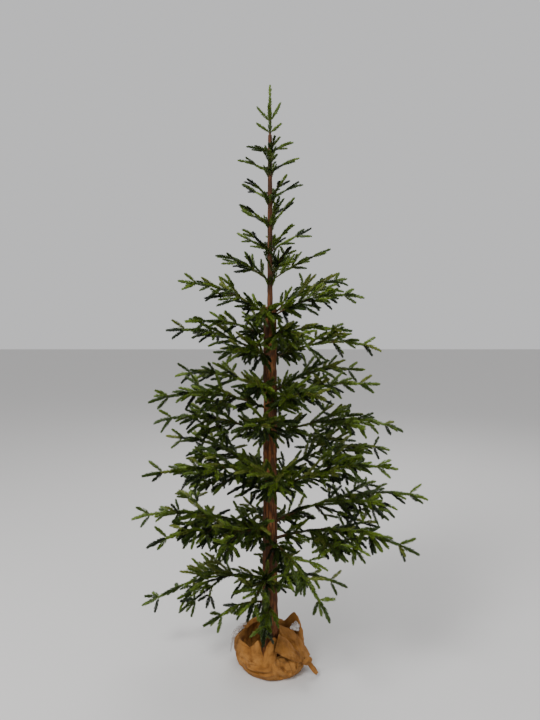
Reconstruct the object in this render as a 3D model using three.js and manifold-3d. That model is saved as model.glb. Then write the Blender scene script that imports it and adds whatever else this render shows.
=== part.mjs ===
// A slim artificial alpine fir, 1.83 m tall, standing in a base wrapped with burlap.
// Millimetres, +Z up. The origin is on the floor, under the trunk's axis, in the middle of the
// flat underside of the base. +X is to the viewer's right and -Y points at the viewer.
//
// A stout lower trunk carries a thinner upper trunk in a socket. Branches leave the lower trunk
// in tiers of four: right, left, front and back. Each branch is one arching stem with pairs of
// side twigs along it and a twig at its tip, and each twig is a spray: a slim blade whose teeth
// are sprigs of needles. The longest branches start as a bare bough. On the upper trunk a tier's
// short branches share a sleeve round the trunk, and a leader of needles ends the tree.
import * as THREE from "three";
import { mergeVertices } from "three/addons/utils/BufferGeometryUtils.js";
import Module from "manifold-3d";

const wasm = await Module();
wasm.setup();
const { Manifold, Mesh: SolidMesh } = wasm;

const TREE_HEIGHT = 1830;
const GAP = 0.3; // between pieces that touch on the real tree
const SPRAY_CLEARANCE = 0.6; // between the sprays of different branches

// Trunk: radius at a height, from the foot in the base to the top.
const TRUNK_FOOT_Z = 14;
const LOWER_TRUNK_TOP_Z = 1128;
const LOWER_TRUNK_RADII = [
  { z: TRUNK_FOOT_Z, radius: 26.5 },
  { z: 120, radius: 25.5 },
  { z: 240, radius: 23.6 },
  { z: 380, radius: 22.4 },
  { z: 700, radius: 21 },
  { z: LOWER_TRUNK_TOP_Z - 6, radius: 20.2 },
  { z: LOWER_TRUNK_TOP_Z, radius: 17.5 },
];
const SOCKET_DEPTH = 70;
const UPPER_TRUNK_TOP_Z = 1671;
const UPPER_TRUNK_RADII = [
  { z: LOWER_TRUNK_TOP_Z - SOCKET_DEPTH + GAP, radius: 8.6 },
  { z: LOWER_TRUNK_TOP_Z + 40, radius: 8.6 },
  { z: 1400, radius: 7.6 },
  { z: UPPER_TRUNK_TOP_Z, radius: 6 },
];
const TRUNK_SIDES = 12;

// Branches. A side twig's angle is measured from its stem, and a sprig's from its twig. Tilt,
// roll and jitter are the widest turns either way.
const NODE_SPACING = 66; // between pairs of side twigs
const TIP_LENGTH = 118; // of the twig at the end of a stem
const SPRIG_LENGTH = 60;
const SPRIG_HALF_WIDTH = 10;
const TOOTH_LENGTH = 54; // a sprig on the side of a twig
const TOOTH_BASE = 24;
const TOOTH_ANGLE = 40;
const FIRST_PAIR = 44; // from a twig's root to its first pair of sprigs
const PAIR_SPACING = 58;
const TWIG_ROOT_RADIUS = 2;
const TWIG_RADIUS = 3;
const RIDGE_HEIGHT = 3.6;
const TWIG_ANGLE = 42;
const INNER_OPENING = 14; // added to the angle of the side twigs nearest the trunk
const TWIG_ANGLE_JITTER = 8;
const TWIG_TILT = 24;
const TWIG_DROOP = 6; // taken off the tilt of every side twig
const TWIG_ROLL = 42;
const TWIG_STAGGER = 5; // half of the way between the two roots of a pair
const TWIG_TAPER = 0.85; // how much longer a side twig is for each step from the stem's tip
const BARE_SHARE = 0.21; // of the stem, next to the trunk
const STEM_HUMP = 0.1; // height of the arch, as a share of the reach
const STEM_SWAY = 0.035;
const STEM_ROOT_RADIUS = 4.6;
const STEM_TIP_RADIUS = 3.4;
const BOUGH_ROOT_RADIUS = 5.5;
const LIMB_CORNERS = [90, 210, 330];
const BOUGH_END_MARGIN = 0.02; // from the bough's end to the first side twigs, as a share
const ROOT_DEPTH = 6; // before it is cut clear of the trunk
const STEM_PIECES = 5;
const MAIN_BOUGH_REACH = 440; // branches that reach further start as a bare bough
const SECTOR_HALF_ANGLE = 42; // the space that a branch keeps to, seen from above
const SECTOR_BAND = 75; // and its height above and below the stem

// Tiers on the lower trunk, from the top down: the height of the branches' roots, and for each
// branch its azimuth, its reach from the trunk's axis and how far its tip rises above its root.
const LOWER_TIERS = [
  { z: 1095, right: [-6, 290, 69], left: [172, 296, 116], front: [262, 250, -5], back: [36, 325, 129] },
  { z: 1035, right: [-14, 254, 18], left: [194, 264, 48], front: [300, 240, 3], back: [110, 250, 53] },
  { z: 950, right: [4, 355, 48], left: [178, 327, 106], front: [240, 280, 40], back: [70, 280, 22] },
  { z: 850, right: [24, 348, 63], left: [158, 341, 50], front: [262, 260, 42], back: [104, 270, 0] },
  { z: 808, right: [-16, 340, 86], left: [198, 377, 41], front: [300, 300, 68], back: [62, 290, 18] },
  { z: 702, right: [3, 425, 37], left: [175, 373, 60], front: [264, 330, 100], back: [88, 310, -12] },
  { z: 578, right: [24, 450, 60], left: [160, 368, 113], front: [230, 350, 76], back: [106, 320, -20] },
  { z: 540, right: [-16, 393, 105], left: [194, 393, 80], front: [272, 360, 119], back: [64, 340, -11] },
  { z: 422, right: [2, 501, 100], left: [177, 441, 31], front: [245, 330, 45], back: [92, 360, -50] },
  { z: 382, right: [-24, 464, 41], left: [205, 391, 58], front: [301, 319, -104], back: [120, 340, -69] },
  { z: 268, right: [10, 252, -42], left: [172, 417, -114], front: [259, 314, 35], back: [75, 280, -40] },
];
const ROOT_HEIGHT_JITTER = 16;

// Two short branches below the last tier.
const LOWEST_BRANCHES = [
  { name: "low_left", z: 205, azimuth: 208, reach: 222, rise: -32 },
  { name: "low_front", z: 205, azimuth: 262, reach: 150, rise: -62 },
];

// Tiers on the upper trunk, from the bottom up, each with its count of branches.
const UPPER_TIERS = [
  { z: 1206, right: 187, left: 192, riseRight: 104, riseLeft: 82, count: 5 },
  { z: 1300, right: 132, left: 112, riseRight: 78, riseLeft: 66, count: 5 },
  { z: 1383, right: 76, left: 112, riseRight: 86, riseLeft: 60, count: 5 },
  { z: 1465, right: 98, left: 96, riseRight: 62, riseLeft: 55, count: 5 },
  { z: 1551, right: 83, left: 93, riseRight: 54, riseLeft: 50, count: 4 },
  { z: 1614, right: 68, left: 68, riseRight: 44, riseLeft: 26, count: 4 },
];
const SLEEVE_HEIGHT = 22;
const SLEEVE_WALL = 4;
const SLEEVE_SIDES = 6;
const UPPER_BARE_SHARE = 0.26;
const UPPER_HUMP = 0.05;
const UPPER_STEM_RADIUS = 3.6;
const UPPER_STEM_START = 0.04;
const SHORTEST_STEM = 6; // where a branch is one twig, from the trunk's axis to its root

// Leader: an upright stem of needles, with rings of rising sprigs round it. A ring's height is
// above the upper trunk's top, and lift is a sprig's slope above level.
const LEADER_RINGS = [
  { z: 8, sprigs: [{ turn: 178, length: 48, lift: 32 }, { turn: 8, length: 44, lift: 36 }] },
  {
    z: 43,
    sprigs: [
      { turn: 180, length: 58, lift: 45 },
      { turn: 0, length: 64, lift: 57 },
      { turn: 262, length: 50, lift: 50 },
      { turn: 95, length: 52, lift: 48 },
    ],
  },
];
const LEADER_SPRIG_HALF_WIDTH = 6.5;
const LEADER_STACK = 3; // sprigs on top of each other along the upright stem
const LEADER_OVERLAP = 12;

// Base: a cloth sheet drawn up round a weighted foot, with its rim as loose peaks and folds.
// Its rings run from the floor over the rim down to the throat round the trunk. Out and up say
// how much of the rim's folds a ring takes, tail how much of the loose corner, and shift how
// much of the way that the foot stands to the right.
const BASE_RINGS = [
  { radius: 93, z: 0, out: 0, up: 0, tail: 0, shift: 1 },
  { radius: 102, z: 12, out: 0, up: 0, tail: 0.6, shift: 0.8 },
  { radius: 107, z: 22, out: 0, up: 0, tail: 1, shift: 0.5 },
  { radius: 110, z: 46, out: 0, up: 0, tail: 0.4, shift: 0 },
  { radius: 104, z: 66, out: 0.4, up: 0, tail: 0, shift: 0 },
  { radius: 86, z: 92, out: 1, up: 1, tail: 0, shift: 0 },
  { radius: 78, z: 90, out: 1, up: 1, tail: 0, shift: 0 },
  { radius: 65, z: 73, out: 0.5, up: 0.5, tail: 0, shift: 0 },
  { radius: 44, z: 62, out: 0, up: 0, tail: 0, shift: 0 },
];
const BASE_SEGMENTS = 40;
const FOOT_X = 10;
// Peaks and sags of the rim: where, how wide in degrees, how high and how far out.
const RIM_FOLDS = [
  { at: 38, width: 15, up: 32, out: 14 },
  { at: 118, width: 26, up: 12, out: 6 },
  { at: 182, width: 26, up: -4, out: 15 },
  { at: 234, width: 15, up: 6, out: -4 },
  { at: 262, width: 9, up: -30, out: -12 },
  { at: 283, width: 11, up: 12, out: -26 },
  { at: 322, width: 20, up: -22, out: 6 },
];
// The loose corner of the sheet that hangs down on the right, towards the viewer.
const TAIL = { at: -30, width: 9, reach: 52 };

const rad = THREE.MathUtils.degToRad;
const vec = (x, y, z) => new THREE.Vector3(x, y, z);

/** A repeatable die: the same seed always rolls the same values. */
class Dice {
  constructor(seed) {
    this.state = seed >>> 0;
    for (let i = 0; i < 3; i++) this.roll();
  }
  roll() {
    this.state = (Math.imul(this.state, 1664525) + 1013904223) >>> 0;
    return this.state / 4294967296;
  }
  /** A value between -width and width. */
  spread(width) {
    return (2 * this.roll() - 1) * width;
  }
}

/** A solid from vertices and faces that share them. */
function solid(points, faces) {
  return new Manifold(
    new SolidMesh({
      numProp: 3,
      vertProperties: new Float32Array(points.flatMap((p) => [p.x, p.y, p.z])),
      triVerts: new Uint32Array(faces.flat()),
    }),
  );
}

/** A solid from a three.js geometry, with its seams merged. */
function solidOf(geometry) {
  const bare = geometry.clone();
  bare.deleteAttribute("normal");
  bare.deleteAttribute("uv");
  const merged = mergeVertices(bare, 1e-4);
  return new Manifold(
    new SolidMesh({
      numProp: 3,
      vertProperties: new Float32Array(merged.attributes.position.array),
      triVerts: new Uint32Array(merged.index.array),
    }),
  );
}

/** Turns a solid back into a geometry for a mesh. */
function geometryOf(made) {
  const mesh = made.getMesh();
  const geometry = new THREE.BufferGeometry();
  geometry.setAttribute("position", new THREE.BufferAttribute(mesh.vertProperties, 3));
  geometry.setIndex(new THREE.BufferAttribute(mesh.triVerts, 1));
  const flat = geometry.toNonIndexed();
  flat.computeVertexNormals();
  return flat;
}

/** Joins closed rings of equal count into one closed skin, with both ends capped by a fan. */
function skin(rings) {
  const count = rings[0].length;
  const last = (rings.length - 1) * count;
  const faces = [];
  for (let low = 0; low < last; low += count) {
    const high = low + count;
    for (let i = 0; i < count; i++) {
      const j = (i + 1) % count;
      faces.push([low + i, low + j, high + j], [low + i, high + j, high + i]);
    }
  }
  for (let i = 1; i + 1 < count; i++) {
    faces.push([0, i + 1, i], [last, last + i, last + i + 1]);
  }
  return solid(rings.flat(), faces);
}

/** A round post about the Z axis through the given heights and radii. */
function post(profile, sides = TRUNK_SIDES) {
  const ends = [profile[0], profile[profile.length - 1]].map((p) => new THREE.Vector2(0, p.z));
  const side = profile.map((p) => new THREE.Vector2(p.radius, p.z));
  return solidOf(new THREE.LatheGeometry([ends[0], ...side, ends[1]], sides).rotateX(Math.PI / 2));
}

/** The room that a post takes up in its neighbours, with the gap round it and below it. */
function postRoom(profile) {
  const grown = profile.map((p) => ({ z: p.z, radius: p.radius + GAP }));
  return post([{ z: grown[0].z - GAP, radius: grown[0].radius }, ...grown.slice(1)]);
}

/** The trunk's radius at a height. */
function trunkRadius(z) {
  const profile = z > LOWER_TRUNK_TOP_Z ? UPPER_TRUNK_RADII : LOWER_TRUNK_RADII;
  for (let i = 1; i < profile.length; i++) {
    const [low, high] = [profile[i - 1], profile[i]];
    if (z <= high.z) {
      return low.radius + ((high.radius - low.radius) * (z - low.z)) / (high.z - low.z);
    }
  }
  return profile[profile.length - 1].radius;
}

/** A three-sided limb through places, each a point and a heading, from one radius to another. */
function limb(places, rootRadius, tipRadius) {
  const rings = places.map(({ point, heading }, i) => {
    const reference = Math.abs(heading.z) > 0.9 ? vec(1, 0, 0) : vec(0, 0, 1);
    const side = heading.clone().cross(reference).normalize();
    const up = side.clone().cross(heading);
    const radius = THREE.MathUtils.lerp(rootRadius, tipRadius, i / (places.length - 1));
    return LIMB_CORNERS.map((turn) =>
      point
        .clone()
        .addScaledVector(side, -radius * Math.cos(rad(turn)))
        .addScaledVector(up, radius * Math.sin(rad(turn))),
    );
  });
  return skin(rings);
}

/**
 * A spray: a slim twig with sprigs of needles as forward teeth in pairs, and one at its end. A
 * ridge along the middle of the twig gives it its thickness. A short one is a single sprig.
 */
function spray(root, along, flat, length, halfWidth = SPRIG_HALF_WIDTH) {
  const across = flat.clone().cross(along).normalize();
  const up = along.clone().cross(across).normalize();
  const at = (x, y, z) =>
    root.clone().addScaledVector(along, x).addScaledVector(across, y).addScaledVector(up, z);
  const toothOut = TOOTH_LENGTH * Math.sin(rad(TOOTH_ANGLE));
  const toothOn = TOOTH_LENGTH * Math.cos(rad(TOOTH_ANGLE));
  const lastPair = length - SPRIG_LENGTH - TOOTH_BASE / 2;
  const morePairs = Math.max(0, Math.round((lastPair - FIRST_PAIR) / PAIR_SPACING));
  const pairs = lastPair > FIRST_PAIR / 2 ? 1 + morePairs : 0;
  const pairGap = pairs > 1 ? (lastPair - FIRST_PAIR) / (pairs - 1) : 0;
  // One side of the outline from the root on, with the ridge point that its next edge leans on.
  const side = [{ x: 0, y: TWIG_ROOT_RADIUS, ridge: 0 }];
  const ridges = [0];
  for (let i = 0; i < pairs; i++) {
    const x = lastPair - (pairs - 1 - i) * pairGap;
    const ridge = i + 1;
    side[side.length - 1].ridge = ridge;
    ridges.push(x + TOOTH_BASE / 2 - TWIG_RADIUS / Math.tan(rad(TOOTH_ANGLE)));
    side.push({ x, y: TWIG_RADIUS, ridge });
    side.push({ x: x + TOOTH_BASE / 2 + toothOn, y: TWIG_RADIUS + toothOut, ridge });
    side.push({ x: x + TOOTH_BASE, y: TWIG_RADIUS, ridge: ridge + 1 });
  }
  const endRidge = pairs + 1;
  side[side.length - 1].ridge = endRidge;
  ridges.push(length - SPRIG_LENGTH * 0.55);
  side.push({ x: length - SPRIG_LENGTH * 0.42, y: halfWidth, ridge: endRidge });

  const count = side.length;
  const points = [
    ...side.map((p) => at(p.x, -p.y, 0)),
    ...side.map((p) => at(p.x, p.y, 0)),
    at(length, 0, 0),
    ...ridges.map((x) => at(x, 0, x === 0 ? TWIG_ROOT_RADIUS : RIDGE_HEIGHT)),
    ...ridges.map((x) => at(x, 0, x === 0 ? -TWIG_ROOT_RADIUS : -RIDGE_HEIGHT)),
  ];
  const tip = 2 * count;
  const faces = [];
  for (const hand of [0, 1]) {
    for (const face of [0, 1]) {
      const edgeAt = (k) => (k < count ? hand * count + k : tip);
      const ridgeAt = (j) => tip + 1 + face * ridges.length + j;
      const add = (a, b, c) => faces.push(hand === face ? [a, b, c] : [a, c, b]);
      for (let k = 0; k < count; k++) {
        const before = k === 0 ? 0 : side[k - 1].ridge;
        const { ridge } = side[k];
        if (before !== ridge) add(edgeAt(k), ridgeAt(ridge), ridgeAt(before));
        add(edgeAt(k), edgeAt(k + 1), ridgeAt(ridge));
      }
    }
  }
  faces.push([0, tip + 1, count], [0, count, tip + 1 + ridges.length]);
  return solid(points, faces);
}

/** One branch: its stem's course and the twigs that leave it, all from a seeded rule. */
class Branch {
  constructor({ name, seed, z, azimuth, reach, rise, bareShare, hump, rootJitter }) {
    Object.assign(this, { name, reach, bareShare });
    this.dice = new Dice(seed);
    const jitter = this.dice.spread(rootJitter);
    this.rootZ = z + jitter;
    this.rise = rise - jitter;
    this.sway = this.dice.spread(STEM_SWAY) * reach;
    this.hump = hump * reach;
    this.out = vec(Math.cos(rad(azimuth)), Math.sin(rad(azimuth)), 0);
    this.aside = vec(-this.out.y, this.out.x, 0);
    this.length = Math.hypot(reach, this.rise);
    this.tipShare = Math.max(1 - TIP_LENGTH / this.length, SHORTEST_STEM / this.length);
  }

  /** A point on the branch's course, from 0 at the trunk's axis to 1 at its furthest tip. */
  at(share) {
    const arch = 4 * this.hump * share * (1 - share);
    return vec(0, 0, this.rootZ + this.rise * share + arch)
      .addScaledVector(this.out, this.reach * share)
      .addScaledVector(this.aside, this.sway * Math.sin(Math.PI * share));
  }

  /** The course's direction at a share of its length. */
  heading(share) {
    return this.at(share + 0.02).sub(this.at(share - 0.02)).normalize();
  }

  /** True where a point lies in the space that this branch keeps to. */
  holds(point) {
    const out = point.dot(this.out);
    const off = Math.abs(point.dot(this.aside));
    const course = this.at(Math.min(out / this.reach, 1));
    return (
      out > 0 &&
      out < this.reach + 4 &&
      off < SPRIG_LENGTH * 0.5 + out * Math.tan(rad(SECTOR_HALF_ANGLE)) &&
      Math.abs(point.z - course.z) < SECTOR_BAND
    );
  }

  /** The twigs, from the tip inwards: root, direction, length, and the plane they lie in. */
  twigs() {
    const up = vec(0, 0, 1);
    const tipRoot = this.at(this.tipShare);
    const tipWay = this.at(1).sub(tipRoot);
    const found = [
      { root: tipRoot, along: tipWay.clone().normalize(), plane: up, length: tipWay.length() },
    ];
    const leafy = this.tipShare - this.bareShare;
    const steps = Math.max(0, Math.round((leafy * this.length) / NODE_SPACING));
    const stepLength = steps > 0 ? (leafy * this.length) / steps : 0;
    for (let k = 0; k < steps; k++) {
      const share = this.tipShare - (leafy * k) / steps;
      for (const hand of [1, -1]) {
        const root = share - (TWIG_STAGGER * (2 + hand)) / this.length;
        const opening = TWIG_ANGLE + (INNER_OPENING * k) / steps;
        const turn = hand * rad(opening + this.dice.spread(TWIG_ANGLE_JITTER));
        const tilt = rad(this.dice.spread(TWIG_TILT) - TWIG_DROOP);
        const roll = rad(this.dice.spread(TWIG_ROLL));
        const fresh = SPRIG_LENGTH * (0.84 + 0.1 * this.dice.roll());
        const along = this.heading(root).applyAxisAngle(up, turn);
        const lever = along.clone().cross(up).normalize();
        along.applyAxisAngle(lever, tilt);
        const plane = up.clone().applyAxisAngle(along, roll);
        const length = fresh + TWIG_TAPER * stepLength * k;
        found.push({ root: this.at(root), along, plane, length });
      }
    }
    return found;
  }
}

/** The branches of the lower trunk: four to a tier, and two more below. */
function lowerBranches() {
  const shared = { bareShare: BARE_SHARE, hump: STEM_HUMP, rootJitter: ROOT_HEIGHT_JITTER };
  const inTiers = LOWER_TIERS.flatMap(({ z, ...sides }, i) =>
    Object.entries(sides).map(([side, [azimuth, reach, rise]], k) => {
      const name = `tier_${i + 1}_${side}`;
      return { name, seed: 100 * (i + 1) + k, z, azimuth, reach, rise };
    }),
  );
  const lowest = LOWEST_BRANCHES.map((b, k) => ({ ...b, seed: 1200 + k }));
  return [...inTiers, ...lowest].map((b) => new Branch({ ...shared, ...b }));
}

/** The branches of one tier of the upper trunk, evenly round it. */
function upperBranches(tier, i) {
  return Array.from({ length: tier.count }, (_, k) => {
    const azimuth = (360 * k) / tier.count + 12 * (i % 2);
    const toRight = (1 + Math.cos(rad(azimuth))) / 2;
    return new Branch({
      name: `upper_${i + 1}_${k + 1}`,
      seed: 5000 + 100 * i + k,
      z: tier.z,
      azimuth,
      reach: THREE.MathUtils.lerp(tier.left, tier.right, toRight),
      rise: THREE.MathUtils.lerp(tier.riseLeft, tier.riseRight, toRight),
      bareShare: UPPER_BARE_SHARE,
      hump: UPPER_HUMP,
      rootJitter: 0,
    });
  });
}

/** The stem between two shares of a branch, as a limb. */
function stem(branch, from, to, rootRadius, tipRadius, pieces) {
  const places = Array.from({ length: pieces + 1 }, (_, i) => {
    const share = THREE.MathUtils.lerp(from, to, i / pieces);
    return { point: branch.at(share), heading: branch.heading(share) };
  });
  return limb(places, rootRadius, tipRadius);
}

/** How strongly a fold acts at an azimuth, from 1 in its middle to 0 far from it. */
function foldWeight(fold, azimuth) {
  const off = THREE.MathUtils.euclideanModulo(azimuth - fold.at + 180, 360) - 180;
  return Math.exp(-((off / fold.width) ** 2));
}

/** The sum of the rim's folds at an azimuth, of how high or how far out they go. */
function rimFolds(azimuth, way) {
  return RIM_FOLDS.reduce((sum, fold) => sum + fold[way] * foldWeight(fold, azimuth), 0);
}

/** The burlap base: bulging sides, a folded rim, a throat round the trunk and its socket. */
function base() {
  const rings = BASE_RINGS.map((ring) =>
    Array.from({ length: BASE_SEGMENTS }, (_, i) => {
      const azimuth = (360 * i) / BASE_SEGMENTS;
      const loose = ring.tail * TAIL.reach * foldWeight(TAIL, azimuth);
      const radius = ring.radius + ring.out * rimFolds(azimuth, "out") + loose;
      return vec(
        radius * Math.cos(rad(azimuth)) + ring.shift * FOOT_X,
        radius * Math.sin(rad(azimuth)),
        ring.z + ring.up * rimFolds(azimuth, "up"),
      );
    }),
  );
  return skin(rings).subtract(postRoom(LOWER_TRUNK_RADII));
}

const materials = {
  bark: new THREE.MeshStandardMaterial({ color: 0x5f3a22, roughness: 0.85, metalness: 0 }),
  bough: new THREE.MeshStandardMaterial({ color: 0x2e3319, roughness: 0.7, metalness: 0 }),
  needles: new THREE.MeshStandardMaterial({ color: 0x38461a, roughness: 0.6, metalness: 0 }),
  burlap: new THREE.MeshStandardMaterial({ color: 0x8a5626, roughness: 0.95, metalness: 0 }),
};

const tree = new THREE.Group();

/** Adds a finished solid to the tree as a named mesh. */
function addMesh(name, made, material) {
  const mesh = new THREE.Mesh(geometryOf(made), material);
  mesh.name = name;
  tree.add(mesh);
}

/** Everything placed so far, with its box, so that no spray touches another piece. */
const placed = [];
function place(owner, made) {
  placed.push({ owner, made, box: made.boundingBox() });
}

/** Adds and places a finished solid at once. */
function addPiece(name, made, material) {
  place(name, made);
  addMesh(name, made, material);
}

/** True where two boxes come nearer to each other than the clearance of sprays. */
function boxesMeet(a, b) {
  return [0, 1, 2].every(
    (k) => a.min[k] < b.max[k] + SPRAY_CLEARANCE && a.max[k] > b.min[k] - SPRAY_CLEARANCE,
  );
}

/** True where a solid touches a placed piece other than its owner's and the owner's seat. */
function touchesOthers(owner, made, seat) {
  const box = made.boundingBox();
  const others = placed.filter((p) => p.owner !== owner && p.owner !== seat);
  return others.some(
    (p) => boxesMeet(box, p.box) && made.minGap(p.made, SPRAY_CLEARANCE) < SPRAY_CLEARANCE,
  );
}

const lowerTrunkRoom = postRoom(LOWER_TRUNK_RADII);
const upperTrunkRoom = postRoom(UPPER_TRUNK_RADII);
addPiece("lower_trunk", post(LOWER_TRUNK_RADII).subtract(upperTrunkRoom), materials.bark);
addPiece("upper_trunk", post(UPPER_TRUNK_RADII), materials.bark);
addPiece("burlap_base", base(), materials.burlap);

/** A branch's stem on the lower trunk, cut clear of it, and the bough of a long branch. */
function rootOnTrunk(branch) {
  const start = (trunkRadius(branch.rootZ) - ROOT_DEPTH) / branch.reach;
  const hasBough = branch.reach > MAIN_BOUGH_REACH;
  const boughEnd = branch.bareShare - BOUGH_END_MARGIN;
  const from = hasBough ? boughEnd + GAP / branch.length : start;
  const to = branch.tipShare;
  const whole = stem(branch, from, to, STEM_ROOT_RADIUS, STEM_TIP_RADIUS, STEM_PIECES);
  const foliageStem = hasBough ? whole : whole.subtract(lowerTrunkRoom);
  const bough = hasBough
    ? stem(branch, start, boughEnd, BOUGH_ROOT_RADIUS, STEM_ROOT_RADIUS, 2).subtract(lowerTrunkRoom)
    : null;
  return { branch, bough, foliageStem };
}

/**
 * A mass of foliage: its core with the sprays that stay in their branch's space and touch no
 * other piece. Sprays are cut clear of the trunk's room, if one is given.
 */
function grow(owner, core, branches, room) {
  const kept = [];
  for (const branch of branches) {
    for (const twig of branch.twigs()) {
      const tip = twig.root.clone().addScaledVector(twig.along, twig.length);
      const whole = spray(twig.root, twig.along, twig.plane, twig.length);
      const made = room ? whole.subtract(room) : whole;
      const free = branch.holds(tip) && !touchesOthers(owner, made, room ? "upper_trunk" : "");
      if (free) {
        kept.push(made);
        place(owner, made);
      }
    }
  }
  return Manifold.union([core, ...kept]);
}

const limbs = lowerBranches().map(rootOnTrunk);
for (const { branch, bough, foliageStem } of limbs) {
  place(`foliage_${branch.name}`, foliageStem);
  if (bough) addPiece(`bough_${branch.name}`, bough, materials.bough);
}

/** The sleeve that carries a tier of the upper trunk, with that tier's stems. */
function sleeve(tier, branches) {
  const outer = trunkRadius(tier.z) + SLEEVE_WALL;
  const ends = [tier.z - SLEEVE_HEIGHT / 2, tier.z + SLEEVE_HEIGHT / 2];
  const tube = post(ends.map((z) => ({ z, radius: outer })), SLEEVE_SIDES);
  const stems = branches.map((b) =>
    stem(b, UPPER_STEM_START, b.tipShare, UPPER_STEM_RADIUS, STEM_TIP_RADIUS, 1),
  );
  return Manifold.union([tube, ...stems]).subtract(upperTrunkRoom);
}

const upperTiers = UPPER_TIERS.map((tier, i) => {
  const branches = upperBranches(tier, i);
  const owner = `foliage_upper_${i + 1}`;
  const core = sleeve(tier, branches);
  place(owner, core);
  return { owner, core, branches };
});

/** The leader: an upright stem of needles with rings of rising sprigs. */
function leader() {
  const foot = UPPER_TRUNK_TOP_Z + GAP;
  const height = TREE_HEIGHT - foot;
  const up = vec(0, 0, 1);
  const places = [foot, foot + height * 0.8].map((z) => ({ point: vec(0, 0, z), heading: up }));
  const parts = [limb(places, STEM_ROOT_RADIUS, TWIG_ROOT_RADIUS)];
  for (let i = 0; i < LEADER_STACK; i++) {
    const bottom = foot + (height * i) / LEADER_STACK;
    const last = i === LEADER_STACK - 1;
    const length = height / LEADER_STACK + (last ? 0 : LEADER_OVERLAP);
    const facing = vec(Math.cos(rad(60 * i)), Math.sin(rad(60 * i)), 0);
    parts.push(spray(vec(0, 0, bottom), up, facing, length, LEADER_SPRIG_HALF_WIDTH));
  }
  for (const ring of LEADER_RINGS) {
    const root = vec(0, 0, foot + ring.z);
    for (const { turn, length, lift } of ring.sprigs) {
      const along = vec(Math.cos(rad(turn)), Math.sin(rad(turn)), Math.tan(rad(lift))).normalize();
      parts.push(spray(root, along, up, length, LEADER_SPRIG_HALF_WIDTH));
    }
  }
  return Manifold.union(parts);
}

addPiece("leader", leader(), materials.needles);
for (const { owner, core, branches } of upperTiers) {
  addMesh(owner, grow(owner, core, branches, upperTrunkRoom), materials.needles);
}
for (const { branch, foliageStem } of limbs) {
  const owner = `foliage_${branch.name}`;
  addMesh(owner, grow(owner, foliageStem, [branch]), materials.needles);
}

export default tree;
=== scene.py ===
"""Looks for a slim artificial alpine fir in a gathered burlap base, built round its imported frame.

Sizes are in metres, in the frame's own axes: +Z up, +X to the viewer's right, -Y towards the viewer.
Tables of courses and places are in millimetres, and say so.
The crown grows by the rule of the part's source, written again here and carried to finer twigs.
"""

import logging
import math
from dataclasses import dataclass, field
from enum import Enum, IntEnum
from typing import Callable, Iterable, NamedTuple

import bpy
import numpy as np
from mathutils import Matrix, Vector


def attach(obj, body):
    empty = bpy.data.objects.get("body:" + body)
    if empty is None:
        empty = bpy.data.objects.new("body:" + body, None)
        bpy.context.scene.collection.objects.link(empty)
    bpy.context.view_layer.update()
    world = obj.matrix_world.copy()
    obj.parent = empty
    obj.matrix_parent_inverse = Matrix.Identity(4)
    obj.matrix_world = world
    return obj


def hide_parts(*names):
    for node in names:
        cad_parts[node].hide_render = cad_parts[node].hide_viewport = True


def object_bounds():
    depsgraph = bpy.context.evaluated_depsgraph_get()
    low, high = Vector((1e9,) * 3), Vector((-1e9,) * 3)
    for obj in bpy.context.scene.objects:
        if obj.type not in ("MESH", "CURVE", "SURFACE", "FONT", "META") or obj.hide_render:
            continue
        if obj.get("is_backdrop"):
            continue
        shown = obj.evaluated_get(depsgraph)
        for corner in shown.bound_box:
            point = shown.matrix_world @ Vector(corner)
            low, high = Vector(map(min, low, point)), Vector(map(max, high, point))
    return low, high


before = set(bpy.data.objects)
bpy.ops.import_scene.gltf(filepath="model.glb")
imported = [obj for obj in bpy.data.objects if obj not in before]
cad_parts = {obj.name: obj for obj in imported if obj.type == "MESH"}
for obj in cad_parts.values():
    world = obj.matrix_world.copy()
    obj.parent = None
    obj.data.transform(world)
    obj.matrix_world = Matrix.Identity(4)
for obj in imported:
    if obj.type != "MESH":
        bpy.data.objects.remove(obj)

CAD_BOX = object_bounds()
BODY = "root"
UP = Vector((0.0, 0.0, 1.0))
TAU = 2 * math.pi
GOLDEN_TURN = 2.39996
BELOW_ONE = 0.9999
STEEPEST = 0.9
MM_IN_M = 1000
TINY = 1e-12
FINE_SEED = 7000
CLOTH_UV = "Cloth"
# The Mix node's colour sockets by number: it has sockets of one name for each kind of value.
COLOR_A, COLOR_B, MIXED_COLOR = 6, 7, 2
log = logging.getLogger("tree")

Array = np.ndarray
Material = bpy.types.Material
Node = bpy.types.Node
Piece = bpy.types.Object
Socket = bpy.types.NodeSocket
Color = tuple[float, float, float]
Place = tuple[float, float, float]
Pair = tuple[float, float]
# Where a branch goes: its azimuth, its reach from the trunk's axis, and its tip's rise.
Course = tuple[float, float, float]


class Slot(Enum):
    """The record's material slots."""

    BARK = "bark"
    BOUGH = "bough"
    NEEDLES = "needles"
    BURLAP = "burlap"


class Tint(IntEnum):
    """The greens of the sprays, as places in a needle piece's list of materials."""

    DEEP = 0
    SHADE = 1
    MID = 2
    FRESH = 3
    OLIVE = 4


# A roll below a tint's limit gives that tint, and olive comes last.
TINT_LIMITS = {Tint.DEEP: 0.14, Tint.SHADE: 0.42, Tint.MID: 0.74, Tint.FRESH: 0.93}


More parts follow.
